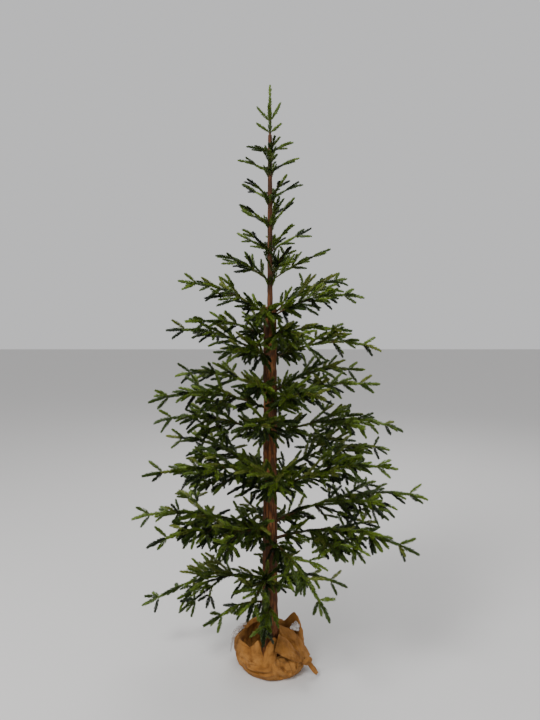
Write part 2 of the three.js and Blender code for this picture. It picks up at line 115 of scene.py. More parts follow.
class Dice:
    """A repeatable die, the same as in the part's source: one seed always rolls the same values."""

    FACTOR = 1664525
    STEP = 1013904223
    VALUES = 1 << 32
    WARM_UP = 3

    def __init__(self, seed: int) -> None:
        """Rolls the first values away.

        Args:
            seed: any whole number.
        """
        self.state = seed % self.VALUES
        for _ in range(self.WARM_UP):
            self.roll()

    def roll(self) -> float:
        """Rolls a value from 0 to 1."""
        self.state = (self.state * self.FACTOR + self.STEP) % self.VALUES
        return self.state / self.VALUES

    def spread(self, width: float) -> float:
        """Rolls a value between -width and width."""
        return (2 * self.roll() - 1) * width

    def between(self, low: float, high: float) -> float:
        """Rolls a value between two others."""
        return low + (high - low) * self.roll()


# Shader helpers


class Graph:
    """A shader node tree, with short ways to add the nodes that the finishes share."""

    def __init__(self, tree: bpy.types.NodeTree) -> None:
        """Takes hold of a node tree."""
        self.tree = tree

    def node(self, kind: str, sockets: dict | None = None, **settings: object) -> Node:
        """Adds a node.

        Args:
            kind: the node's type, without the ShaderNode before it.
            sockets: values or sockets for its inputs, by name or number.
            **settings: its properties.

        Returns:
            The node.
        """
        made = self.tree.nodes.new(f"ShaderNode{kind}")
        for key, value in settings.items():
            setattr(made, key, value)
        for key, value in (sockets or {}).items():
            if isinstance(value, Socket):
                self.link(value, made.inputs[key])
            else:
                made.inputs[key].default_value = value
        return made

    def link(self, source: Socket, target: Socket) -> None:
        """Links an output socket to an input socket."""
        self.tree.links.new(source, target)

    def math(self, operation: str, *values: object) -> Socket:
        """Adds a Math node with numbers or sockets, and gives its output."""
        return self.node("Math", dict(enumerate(values)), operation=operation).outputs[0]

    def noise(self, place: Socket, scale: object, detail: object, roughness: float) -> Node:
        """Adds a Noise Texture node at a place, and gives it."""
        sockets = {"Vector": place, "Scale": scale, "Detail": detail, "Roughness": roughness}
        return self.node("TexNoise", sockets)

    def ranged(self, value: Socket, low: object, high: object) -> Socket:
        """Stretches the values from low to high over 0 to 1, and gives the new value."""
        sockets = {"Value": value, "From Min": low, "From Max": high}
        return self.node("MapRange", sockets).outputs[0]

    def group(self, key: str, **values: float) -> bpy.types.NodeOutputs:
        """Places a shared group.

        Args:
            key: the group's key.
            **values: values for its inputs.

        Returns:
            The outputs of the group's node.
        """
        made = self.node("Group", node_tree=GROUPS[key])
        for label, value in values.items():
            made.inputs[label].default_value = value
        return made.outputs

    def patches(self, patches: "Patches") -> Socket:
        """Places the group of soft patches, and gives its mask."""
        return self.group("patches", Scale=patches.scale, Low=patches.low, High=patches.high)["Mask"]

    def blend(self, mask: Socket, low: object, high: object) -> Socket:
        """Mixes two colours by a mask.

        Args:
            mask: the share of the second colour.
            low: the colour at 0, as three numbers or a socket.
            high: the colour at 1, as three numbers or a socket.

        Returns:
            The mixed colour.
        """
        colors = [v if isinstance(v, Socket) else (*v, 1.0) for v in (low, high)]
        sockets = {"Factor": mask, COLOR_A: colors[0], COLOR_B: colors[1]}
        return self.node("Mix", sockets, data_type="RGBA").outputs[MIXED_COLOR]

    def bump(self, shader: Node, height: Socket, depth: float) -> None:
        """Feeds a height to a shader's normal.

        Args:
            shader: the Principled node.
            height: the socket of the height.
            depth: the bump's distance in metres.
        """
        bump = self.node("Bump", {"Strength": 1.0, "Distance": depth, "Height": height})
        self.link(bump.outputs[0], shader.inputs["Normal"])


def principled(name: str, roughness: float, specular: float) -> tuple:
    """A new material with its Principled shader.

    Args:
        name: the material's name.
        roughness: its roughness.
        specular: its specular level.

    Returns:
        The material, its graph and its Principled node.
    """
    material = bpy.data.materials.new(name)
    material.use_nodes = True
    shader = material.node_tree.nodes["Principled BSDF"]
    shader.inputs["Roughness"].default_value = roughness
    shader.inputs["Specular IOR Level"].default_value = specular
    return material, Graph(material.node_tree), shader


def new_group(name: str, inputs: dict[str, float], outputs: tuple[str, ...]) -> tuple:
    """An empty shader node group of number sockets.

    Args:
        name: the group's name.
        inputs: its inputs' names and default values.
        outputs: its outputs' names.

    Returns:
        The group's graph, the sockets of its input node and those of its output node.
    """
    tree = bpy.data.node_groups.new(name, "ShaderNodeTree")
    for label, value in inputs.items():
        socket = tree.interface.new_socket(label, in_out="INPUT", socket_type="NodeSocketFloat")
        socket.default_value = value
    for label in outputs:
        tree.interface.new_socket(label, in_out="OUTPUT", socket_type="NodeSocketFloat")
    taken, given = tree.nodes.new("NodeGroupInput"), tree.nodes.new("NodeGroupOutput")
    return Graph(tree), taken.outputs, given.inputs


def grain_group(roughness: float = 0.62, warp: float = 0.011) -> bpy.types.NodeTree:
    """A group of stretched noise: a height and a mask of furrows, for bark and wound stems.

    Args:
        roughness: the noise's roughness.
        warp: how far the noise bends the furrows.

    Returns:
        The group. Scale is per metre, and Stretch draws the grain out along Z.
    """
    inputs = {"Scale": 60.0, "Stretch": 0.2, "Detail": 6.0, "Crack": 0.12}
    graph, taken, given = new_group("StretchedGrain", inputs, ("Height", "Furrow"))
    place = graph.node("TexCoord").outputs["Object"]
    parts = graph.node("SeparateXYZ", {0: place}).outputs
    along = graph.math("MULTIPLY", parts["Z"], taken["Stretch"])
    drawn = graph.node("CombineXYZ", {"X": parts["X"], "Y": parts["Y"], "Z": along}).outputs[0]
    coarse = graph.noise(drawn, taken["Scale"], taken["Detail"], roughness).outputs
    shift = graph.node("VectorMath", {0: coarse["Color"], "Scale": warp}, operation="SCALE").outputs[0]
    warped = graph.node("VectorMath", {0: drawn, 1: shift}, operation="ADD").outputs[0]
    sockets = {"Vector": warped, "Scale": taken["Scale"]}
    cells = graph.node("TexVoronoi", sockets, feature="DISTANCE_TO_EDGE").outputs
    crack = graph.ranged(cells["Distance"], 0.0, taken["Crack"])
    graph.link(graph.math("MULTIPLY", coarse[0], crack), given["Height"])
    graph.link(graph.math("SUBTRACT", 1.0, crack), given["Furrow"])
    return graph.tree


def patch_group(detail: float = 4.0, roughness: float = 0.55) -> bpy.types.NodeTree:
    """A group of soft patches from 0 to 1, for worn, dusty or darker places.

    Args:
        detail: the noise's detail.
        roughness: the noise's roughness.

    Returns:
        The group. Scale is per metre, and Low and High are the noise values of 0 and 1.
    """
    inputs = {"Scale": 12.0, "Low": 0.4, "High": 0.65}
    graph, taken, given = new_group("SoftPatches", inputs, ("Mask",))
    place = graph.node("TexCoord").outputs["Object"]
    noise = graph.noise(place, taken["Scale"], detail, roughness).outputs[0]
    graph.link(graph.ranged(noise, taken["Low"], taken["High"]), given["Mask"])
    return graph.tree


def weave_group(wobble_scale: float = 90.0, gap_power: float = 1.5) -> bpy.types.NodeTree:
    """A group of plain weave along a piece's cloth coordinates, in metres.

    Args:
        wobble_scale: the scale of the threads' unevenness, per metre.
        gap_power: how sharply the gaps between the threads fall off.

    Returns:
        The group. It gives the threads' height and a mask of the gaps between them.
    """
    inputs = {"Pitch": 0.002, "Unevenness": 0.3}
    graph, taken, given = new_group("PlainWeave", inputs, ("Height", "Gap"))
    place = graph.node("UVMap", uv_map=CLOTH_UV).outputs[0]
    wobble = graph.noise(place, wobble_scale, 2.0, 0.5).outputs[0]
    parts = graph.node("SeparateXYZ", {0: place}).outputs
    swing = graph.math("MULTIPLY", wobble, taken["Unevenness"])
    threads = []
    for axis in ("X", "Y"):
        turns = graph.math("DIVIDE", parts[axis], taken["Pitch"])
        angle = graph.math("MULTIPLY", graph.math("ADD", turns, swing), math.pi)
        threads.append(graph.math("ABSOLUTE", graph.math("SINE", angle)))
    gaps = [graph.math("SUBTRACT", 1.0, thread) for thread in threads]
    gap = graph.math("POWER", graph.math("MULTIPLY", *gaps), gap_power)
    graph.link(graph.math("MAXIMUM", *threads), given["Height"])
    graph.link(gap, given["Gap"])
    return graph.tree


GROUPS = {"grain": grain_group(), "patches": patch_group(), "weave": weave_group()}


# Finishes


class Patches(NamedTuple):
    """Soft patches: their scale per metre, and the noise values of their edge and their middle."""

    scale: float
    low: float
    high: float


@dataclass(frozen=True)
class NeedleFinish:
    """Soft plastic needles in one green."""

    name: str
    color: Color
    roughness: float = 0.5
    specular: float = 0.35

    def material(self) -> Material:
        """Makes the material.

        Returns:
            The material of this green.
        """
        material, _, shader = principled(self.name, self.roughness, self.specular)
        shader.inputs["Base Color"].default_value = (*self.color, 1.0)
        return material


@dataclass(frozen=True)
class BarkFinish:
    """A bark wrap: furrowed, reddish brown on the plates and dark in the furrows."""

    name: str = "Bark"
    plate: Color = (0.175, 0.056, 0.014)
    worn: Color = (0.250, 0.098, 0.033)
    stain: Color = (0.075, 0.026, 0.007)
    furrow: Color = (0.034, 0.013, 0.004)
    worn_patches: Patches = Patches(34.0, 0.46, 0.66)
    stain_patches: Patches = Patches(15.0, 0.47, 0.62)
    scale: float = 105.0
    stretch: float = 0.11
    crack: float = 0.2
    relief: float = 0.0016
    roughness: float = 0.8
    specular: float = 0.3

    def material(self) -> Material:
        """Makes the material.

        Returns:
            The bark's material.
        """
        material, graph, shader = principled(self.name, self.roughness, self.specular)
        grain = graph.group("grain", Scale=self.scale, Stretch=self.stretch, Crack=self.crack)
        plates = graph.blend(graph.patches(self.worn_patches), self.plate, self.worn)
        stained = graph.blend(graph.patches(self.stain_patches), plates, self.stain)
        color = graph.blend(grain["Furrow"], stained, self.furrow)
        graph.link(color, shader.inputs["Base Color"])
        graph.bump(shader, grain["Height"], self.relief)
        return material


@dataclass(frozen=True)
class StemFinish:
    """Wire wound with green and brown tape, as on the tree's boughs and twigs."""

    name: str = "WoundStem"
    green: Color = (0.030, 0.032, 0.008)
    brown: Color = (0.085, 0.036, 0.012)
    tape_patches: Patches = Patches(40.0, 0.45, 0.6)
    scale: float = 260.0
    stretch: float = 0.6
    relief: float = 0.0006
    roughness: float = 0.7
    specular: float = 0.3

    def material(self) -> Material:
        """Makes the material.

        Returns:
            The stems' material.
        """
        material, graph, shader = principled(self.name, self.roughness, self.specular)
        grain = graph.group("grain", Scale=self.scale, Stretch=self.stretch)
        color = graph.blend(graph.patches(self.tape_patches), self.green, self.brown)
        graph.link(color, shader.inputs["Base Color"])
        graph.bump(shader, grain["Height"], self.relief)
        return material


@dataclass(frozen=True)
class BurlapFinish:
    """Coarse brown burlap, darker in its gaps and soiled in patches."""

    name: str = "Burlap"
    thread: Color = (0.262, 0.108, 0.021)
    faded: Color = (0.365, 0.172, 0.046)
    soiled: Color = (0.150, 0.056, 0.011)
    gap: Color = (0.100, 0.037, 0.008)
    bloom: Color = (0.75, 0.55, 0.36)
    faded_patches: Patches = Patches(17.0, 0.35, 0.68)
    soiled_patches: Patches = Patches(42.0, 0.48, 0.7)
    pitch: float = 0.0021
    unevenness: float = 0.35
    relief: float = 0.0006
    roughness: float = 0.92
    specular: float = 0.15
    sheen: float = 0.12
    sheen_roughness: float = 0.5

    def material(self) -> Material:
        """Makes the material.

        Returns:
            The burlap's material.
        """
        material, graph, shader = principled(self.name, self.roughness, self.specular)
        shader.inputs["Sheen Weight"].default_value = self.sheen
        shader.inputs["Sheen Roughness"].default_value = self.sheen_roughness
        shader.inputs["Sheen Tint"].default_value = (*self.bloom, 1.0)
        weave = graph.group("weave", Pitch=self.pitch, Unevenness=self.unevenness)
        threads = graph.blend(graph.patches(self.faded_patches), self.thread, self.faded)
        soiled = graph.blend(graph.patches(self.soiled_patches), threads, self.soiled)
        color = graph.blend(weave["Gap"], soiled, self.gap)
        graph.link(color, shader.inputs["Base Color"])
        graph.bump(shader, weave["Height"], self.relief)
        return material


@dataclass(frozen=True)
class LiningFinish:
    """Scraps of thin white lining film that stick out of the burlap."""

    name: str = "LiningFilm"
    color: Color = (0.80, 0.76, 0.74)
    crinkles: Patches = Patches(120.0, 0.3, 0.7)
    thinnest: float = 0.25
    thickest: float = 0.9
    relief: float = 0.001
    roughness: float = 0.28
    specular: float = 0.5

    def material(self) -> Material:
        """Makes the material.

        Returns:
            The film's material, half see-through and crinkled.
        """
        material, graph, shader = principled(self.name, self.roughness, self.specular)
        shader.inputs["Base Color"].default_value = (*self.color, 1.0)
        mask = graph.patches(self.crinkles)
        sockets = {"Value": mask, "To Min": self.thinnest, "To Max": self.thickest}
        graph.link(graph.node("MapRange", sockets).outputs[0], shader.inputs["Alpha"])
        graph.bump(shader, mask, self.relief)
        return material


NEEDLE_FINISHES: dict[Tint, NeedleFinish] = {
    Tint.DEEP: NeedleFinish("NeedlesDeep", (0.009, 0.018, 0.002)),
    Tint.SHADE: NeedleFinish("NeedlesShade", (0.034, 0.060, 0.006)),
    Tint.MID: NeedleFinish("NeedlesMid", (0.077, 0.122, 0.011)),
    Tint.FRESH: NeedleFinish("NeedlesFresh", (0.112, 0.170, 0.016)),
    Tint.OLIVE: NeedleFinish("NeedlesOlive", (0.132, 0.160, 0.022)),
}


# Mesh helpers


class Soup:
    """Vertices and faces of one piece, gathered part by part."""

    def __init__(self) -> None:
        """Starts empty."""
        self.points: list[Array] = []
        self.faces: list[Array] = []
        self.indices: list[Array] = []
        self.count = 0

    def add(self, points: Array, faces: Array, index: int | Array = 0) -> "Soup":
        """Adds a part.

        Args:
            points: n by 3 places.
            faces: m by 3 corner numbers within the part.
            index: the material's place, one for all faces or one each.

        Returns:
            The soup itself.
        """
        self.points.append(points)
        self.faces.append(faces + self.count)
        self.indices.append(np.broadcast_to(np.asarray(index, np.int32), (len(faces),)))
        self.count += len(points)
        return self

    def piece(self, name: str, *materials: Material) -> Piece:
        """Makes the object.

        Args:
            name: the object's name.
            *materials: its materials, in the order of the faces' numbers.

        Returns:
            The object, linked to the scene.
        """
        points = np.concatenate(self.points).astype(np.float32)
        faces = np.concatenate(self.faces).astype(np.int32)
        mesh = bpy.data.meshes.new(name)
        mesh.vertices.add(len(points))
        mesh.vertices.foreach_set("co", points.ravel())
        mesh.loops.add(faces.size)
        mesh.loops.foreach_set("vertex_index", faces.ravel())
        mesh.polygons.add(len(faces))
        mesh.polygons.foreach_set("loop_start", np.arange(0, faces.size, 3, dtype=np.int32))
        mesh.polygons.foreach_set("material_index", np.concatenate(self.indices))
        for material in materials:
            mesh.materials.append(material)
        mesh.update(calc_edges=True)
        return linked(name, mesh)


def linked(name: str, data: bpy.types.ID) -> Piece:
    """Makes an object and links it to the scene.

    Args:
        name: its name.
        data: its mesh, camera or light.

    Returns:
        The object.
    """
    made = bpy.data.objects.new(name, data)
    bpy.context.scene.collection.objects.link(made)
    return made


def grid_faces(rows: int, columns: int) -> Array:
    """Triangles of a grid of points, row by row, where each row's last point joins its first.

    Args:
        rows: the number of rows.
        columns: the number of points in a row.

    Returns:
        The triangles' corner numbers.
    """
    across = np.arange(columns)
    start = (np.arange(rows - 1) * columns)[:, None]
    low, next_low = start + across, start + (across + 1) % columns
    high, next_high = low + columns, next_low + columns
    first = np.stack([low, next_low, next_high], -1).reshape(-1, 3)
    second = np.stack([low, next_high, high], -1).reshape(-1, 3)
    return np.concatenate([first, second])


def fan(first: int, count: int, middle: int, flip: bool = False) -> Array:
    """Triangles that close a ring of points by one point.

    Args:
        first: the number of the ring's first point.
        count: the points in the ring.
        middle: the number of the point in its middle.
        flip: True if the faces look the other way.

    Returns:
        The triangles' corner numbers.
    """
    ring = first + np.arange(count)
    after = np.roll(ring, -1)
    pair = [after, ring] if flip else [ring, after]
    return np.stack([*pair, np.full(count, middle)], -1)


def tube(course: Array, radii: Array, sides: int) -> tuple[Array, Array]:
    """A tapering tube along a course, closed by a point at its end.

    Args:
        course: n by 3 places.
        radii: the radius at each place.
        sides: the number of sides.

    Returns:
        Points and triangles.
    """
    heading = unit(np.gradient(course, axis=0))
    steady = (0.0, 0.0, 1.0) if abs(heading[0, 2]) < STEEPEST else (1.0, 0.0, 0.0)
    side = unit(np.cross(heading, steady))
    over = np.cross(side, heading)
    turns = TAU * np.arange(sides) / sides
    spokes = np.cos(turns)[None, :, None] * side[:, None] + np.sin(turns)[None, :, None] * over[:, None]
    rings = course[:, None] + radii[:, None, None] * spokes
    tip = course[-1] + heading[-1] * radii[-1]
    points = np.concatenate([rings.reshape(-1, 3), tip[None]])
    cap = fan((len(course) - 1) * sides, sides, len(points) - 1)
    return points, np.concatenate([grid_faces(len(course), sides), cap])


def unit(vectors: Array) -> Array:
    """Gives the vectors a length of 1."""
    return vectors / np.linalg.norm(vectors, axis=-1, keepdims=True)


def turned(direction: Vector, axis: Vector, degrees: float) -> Vector:
    """Turns a direction about an axis."""
    return Matrix.Rotation(math.radians(degrees), 3, axis) @ direction


def level(turn: float) -> Vector:
    """Gives the level direction at a turn in radians."""
    return Vector((math.cos(turn), math.sin(turn), 0.0))


def aimed(heading: Vector, turn: float, tilt: float) -> Vector:
    """Turns a direction about the upright axis and then tilts it up, both in degrees."""
    along = turned(heading, UP, turn)
    return turned(along, along.cross(UP).normalized(), tilt)


def leaned(along: Vector, aside: Vector, degrees: float) -> Vector:
    """Leans a direction towards another one that is square to it."""
    angle = math.radians(degrees)
    return along * math.cos(angle) + aside * math.sin(angle)


class LatticeNoise:
    """Smooth noise round an axis: it meets itself after one turn."""

    def __init__(self, seed: int, around: int, rows: int) -> None:
        """Rolls the values at the corners of its cells.

        Args:
            seed: a whole number.
            around: the cells in one turn.
            rows: the cells along the axis.
        """
        self.around, self.rows = around, rows
        self.values = np.random.default_rng(seed).random((rows + 2, around))

    def at(self, turn: Array, height: Array) -> Array:
        """Noise values from 0 to 1.

        Args:
            turn: shares of one turn.
            height: shares of the rows.

        Returns:
            The values, in the shape of the arguments.
        """
        u = (turn % 1.0) * self.around
        v = np.clip(height, 0.0, BELOW_ONE) * self.rows
        column, row = np.floor(u).astype(int) % self.around, np.floor(v).astype(int)
        fu, fv = u - np.floor(u), v - np.floor(v)
        fu, fv = fu * fu * (3 - 2 * fu), fv * fv * (3 - 2 * fv)
        across = (column + 1) % self.around
        low = self.values[row, column] * (1 - fu) + self.values[row, across] * fu
        high = self.values[row + 1, column] * (1 - fu) + self.values[row + 1, across] * fu
        return low * (1 - fv) + high * fv


@dataclass(frozen=True)
class Crumple:
    """The relief of crumpled cloth: soft swells, so many along it and up it, cut by narrow valleys."""

    seed: int
    around: int
    rows: int
    finer: int = 3
    fine_share: float = 0.4
    valley_share: float = 0.6
    valley_slope: float = 7.0
    valley_power: float = 1.3
    valley_shift: float = 0.3

    def at(self, turn: Array, height: Array) -> Array:
        """The relief, from about -1.2 to 0.7.

        Args:
            turn: shares of the way along.
            height: shares of the way up.

        Returns:
            The relief, in the shape of the arguments.
        """
        soft = LatticeNoise(self.seed, self.around, self.rows).at(turn, height) - 0.5
        small = LatticeNoise(self.seed + 1, self.finer * self.around, self.finer * self.rows)
        fine = small.at(turn, height) - 0.5
        shifted = turn + self.valley_shift / self.around
        folds = LatticeNoise(self.seed + 2, self.around, self.rows + 1).at(shifted, height)
        valley = np.clip(1 - self.valley_slope * np.abs(folds - 0.5), 0.0, 1.0)
        return soft + self.fine_share * fine - self.valley_share * valley**self.valley_power


# Sprays of needles


class Sprig(NamedTuple):
    """A brush of needles: its root, its way, the side it is flat on, its size and its green.

    One that clads a stem has no stem of its own.
    """

    root: Vector
    way: Vector
    flat: Vector
    length: float
    width: float
    bend: float
    tint: Tint
    clads: bool = False


@dataclass
class Needles:
    """Turns sprigs into needles: keeled blades of two faces round each sprig's stem."""

    per_metre: float = 1900.0
    fewest: int = 8
    length: float = 0.0122
    half_width: float = 0.0015
    shoulder: float = 0.55
    keel: float = 0.0006
    flatness: float = 0.86
    lean_at_root: float = 42.0
    lean_at_tip: float = 21.0
    lean_power: float = 1.5
    bare_root: float = 0.1
    outline_places: tuple[float, ...] = (0.0, 0.35, 0.8, 1.0)
    outline: tuple[float, ...] = (0.4, 1.0, 0.95, 0.6)
    least_cladding: float = 0.75
    turn_jitter: float = 0.4
    lean_jitter: Pair = (0.8, 1.15)
    length_jitter: Pair = (0.85, 1.1)
    roll_jitter: float = 0.6
    skew: float = 0.01
    core_radius: float = 0.0013
    core_tip_radius: float = 0.0006
    core_end: float = 0.95
    core_sides: int = 3
    core_rings: int = 3

    def fill(self, soup: Soup, sprigs: list[Sprig], seed: int) -> None:
        """Adds the needles of some sprigs to a piece.

        Args:
            soup: the piece's parts.
            sprigs: the sprigs.
            seed: for the needles' small differences.
        """
        random = np.random.default_rng(seed)
        counts = np.array([max(self.fewest, round(s.length * self.per_metre)) for s in sprigs])
        owner = np.repeat(np.arange(len(sprigs)), counts)
        number = np.arange(len(owner)) - np.repeat(np.cumsum(counts) - counts, counts)
        total = len(owner)
        length, width, bend, clads = np.array([(s.length, s.width, s.bend, s.clads) for s in sprigs])[owner].T
        bare = np.where(clads, 0.0, self.bare_root)
        share = bare + (1 - bare) * (number + 0.5) / counts[owner]

        root, way, flat, side = (axis[owner] for axis in self._axes(sprigs))
        place = root + way * (length * share)[:, None] + flat * (bend * length * share**2)[:, None]
        heading = unit(way + flat * (2 * bend * share)[:, None])
        turn = number * GOLDEN_TURN + random.uniform(-self.turn_jitter, self.turn_jitter, total)
        out = np.cos(turn)[:, None] * side + self.flatness * np.sin(turn)[:, None] * flat
        opened = (self.lean_at_tip - self.lean_at_root) * share**self.lean_power
        lean = np.radians(self.lean_at_root + opened) * random.uniform(*self.lean_jitter, total)
        pointing = unit(heading * np.cos(lean)[:, None] + out * np.sin(lean)[:, None])
        fullness = np.interp(share, self.outline_places, self.outline)
        fullness = np.where(clads, np.maximum(fullness, self.least_cladding), fullness)
        reach = self.length * width * fullness * random.uniform(*self.length_jitter, total)

        across = unit(np.cross(pointing, heading + self.skew))
        above = np.cross(across, pointing)
        roll = random.normal(0.0, self.roll_jitter, total)
        wide = np.cos(roll)[:, None] * across + np.sin(roll)[:, None] * above
        deep = np.cross(wide, pointing) * self.keel
        foot = place + out * self.core_radius * 0.5
        middle = foot + pointing * (self.shoulder * reach)[:, None] + deep
        wide = wide * (self.half_width * width)[:, None]
        tip = foot + pointing * reach[:, None]
        points = np.stack([foot, middle - wide, tip, middle + wide], 1).reshape(-1, 3)
        start = 4 * np.arange(total)[:, None]
        faces = [start + np.array(corner) for corner in ((0, 1, 2), (0, 2, 3))]
        tint = np.array([int(s.tint) for s in sprigs], np.int32)[owner]
        soup.add(points, np.concatenate(faces), np.tile(tint, 2))

    def cores(self, soup: Soup, sprigs: list[Sprig]) -> None:
        """Adds the sprigs' own stems to a piece of twigs.

        Args:
            soup: the piece's parts.
            sprigs: the sprigs.
        """
        shares = np.linspace(0.0, self.core_end, self.core_rings)
        radii = np.linspace(self.core_radius, self.core_tip_radius, self.core_rings)
        for root, way, flat, length, _, bend, _, clads in sprigs:
            if not clads:
                course = [root + way * (length * t) + flat * (bend * length * t * t) for t in shares]
                soup.add(*tube(np.array(course), radii, self.core_sides))

    @staticmethod
    def _axes(sprigs: list[Sprig]) -> tuple[Array, Array, Array, Array]:
        """The sprigs' own axes.

        Args:
            sprigs: the sprigs.

        Returns:
            Each sprig's root, way, flat side's normal and sideways direction.
        """
        root, way, flat = (np.array([s[k] for s in sprigs]) for k in range(3))
        flat = unit(flat - way * np.sum(flat * way, axis=1, keepdims=True))
        return root, way, flat, np.cross(way, flat)


# Branches


class Twig(NamedTuple):
    """A twig of the source's rule: its root, way, length, and the plane that its sprigs lie in."""

    root: Vector
    along: Vector
    plane: Vector
    length: float


@dataclass
class Branch:
    """One branch: its stem's course and its twigs, from the same rolls as in the part's source."""

    name: str
    seed: int
    z: float
    azimuth: float
    reach: float
    rise: float
    bare_share: float = 0.21
    hump: float = 0.1
    root_jitter: float = 0.016

    tip_length: float = 0.118
    node_spacing: float = 0.066
    sprig_length: float = 0.060
    fresh_length: float = 0.84
    fresh_jitter: float = 0.1
    twig_angle: float = 42.0
    inner_opening: float = 14.0
    angle_jitter: float = 8.0
    tilt: float = 24.0
    twig_droop: float = 6.0
    roll: float = 42.0
    stagger: float = 0.005
    taper: float = 0.85
    sway_share: float = 0.035
    shortest_stem: float = 0.006
    sector_half_angle: float = 42.0
    sector_band: float = 0.075
    sector_end: float = 0.004
    heading_step: float = 0.02

    def __post_init__(self) -> None:
        """Rolls the branch's own jitter and sway, and works out its directions."""
        self.dice = Dice(self.seed)
        jitter = self.dice.spread(self.root_jitter)
        self.root_z = self.z + jitter
        self.rise -= jitter
        self.sway = self.dice.spread(self.sway_share) * self.reach
        self.out = level(math.radians(self.azimuth))
        self.aside = Vector((-self.out.y, self.out.x, 0.0))
        self.length = math.hypot(self.reach, self.rise)
        self.tip_share = max(1 - self.tip_length / self.length, self.shortest_stem / self.length)

    def at(self, share: float) -> Vector:
        """Gives a place on the course.

        Args:
            share: from 0 at the trunk's axis to 1 at the furthest tip.

        Returns:
            The place.
        """
        arch = 4 * self.hump * self.reach * share * (1 - share)
        middle = Vector((0.0, 0.0, self.root_z + self.rise * share + arch))
        return middle + self.out * self.reach * share + self.aside * self.sway * math.sin(math.pi * share)

    def heading(self, share: float) -> Vector:
        """Gives the course's direction at a share of its length."""
        return (self.at(share + self.heading_step) - self.at(share - self.heading_step)).normalized()

    def holds(self, point: Vector) -> bool:
        """Tells whether a point lies in the space that this branch keeps to.

        Args:
            point: the place.

        Returns:
            True if it does.
        """
        out = point.dot(self.out)
        off = abs(point.dot(self.aside))
        course = self.at(min(out / self.reach, 1.0))
        return (
            0 < out < self.reach + self.sector_end
            and off < self.sprig_length / 2 + out * math.tan(math.radians(self.sector_half_angle))
            and abs(point.z - course.z) < self.sector_band
        )

    def steps(self) -> tuple[int, float, float]:
        """Divides the leafy part by the spacing of its nodes.

        Returns:
            The number of steps, the leafy part's share of the branch, and a step's length.
        """
        leafy = self.tip_share - self.bare_share
        count = max(0, math.floor(leafy * self.length / self.node_spacing + 0.5))
        return count, leafy, leafy * self.length / count if count else 0.0

    def twigs(self) -> list[Twig]:
        """Rolls the source's twigs.

        Returns:
            The twigs, from the tip inwards.
        """
        tip_root = self.at(self.tip_share)
        tip_way = self.at(1.0) - tip_root
        found = [Twig(tip_root, tip_way.normalized(), UP, tip_way.length)]
        count, leafy, step_length = self.steps()
        for k in range(count):
            share = self.tip_share - leafy * k / count
            for hand in (1, -1):
                root = share - self.stagger * (2 + hand) / self.length
                opening = self.twig_angle + self.inner_opening * k / count
                turn = hand * (opening + self.dice.spread(self.angle_jitter))
                tilt = self.dice.spread(self.tilt) - self.twig_droop
                roll = self.dice.spread(self.roll)
                fresh = self.sprig_length * (self.fresh_length + self.fresh_jitter * self.dice.roll())
                along = aimed(self.heading(root), turn, tilt)
                length = fresh + self.taper * step_length * k
                found.append(Twig(self.at(root), along, turned(UP, along, roll), length))
        return found


class LooseTwigs(NamedTuple):
    """How finer twigs leave a branch's plane: their turn, their tilt's jitter, and their length."""

    turn: Pair
    tilt: float
    length: Pair


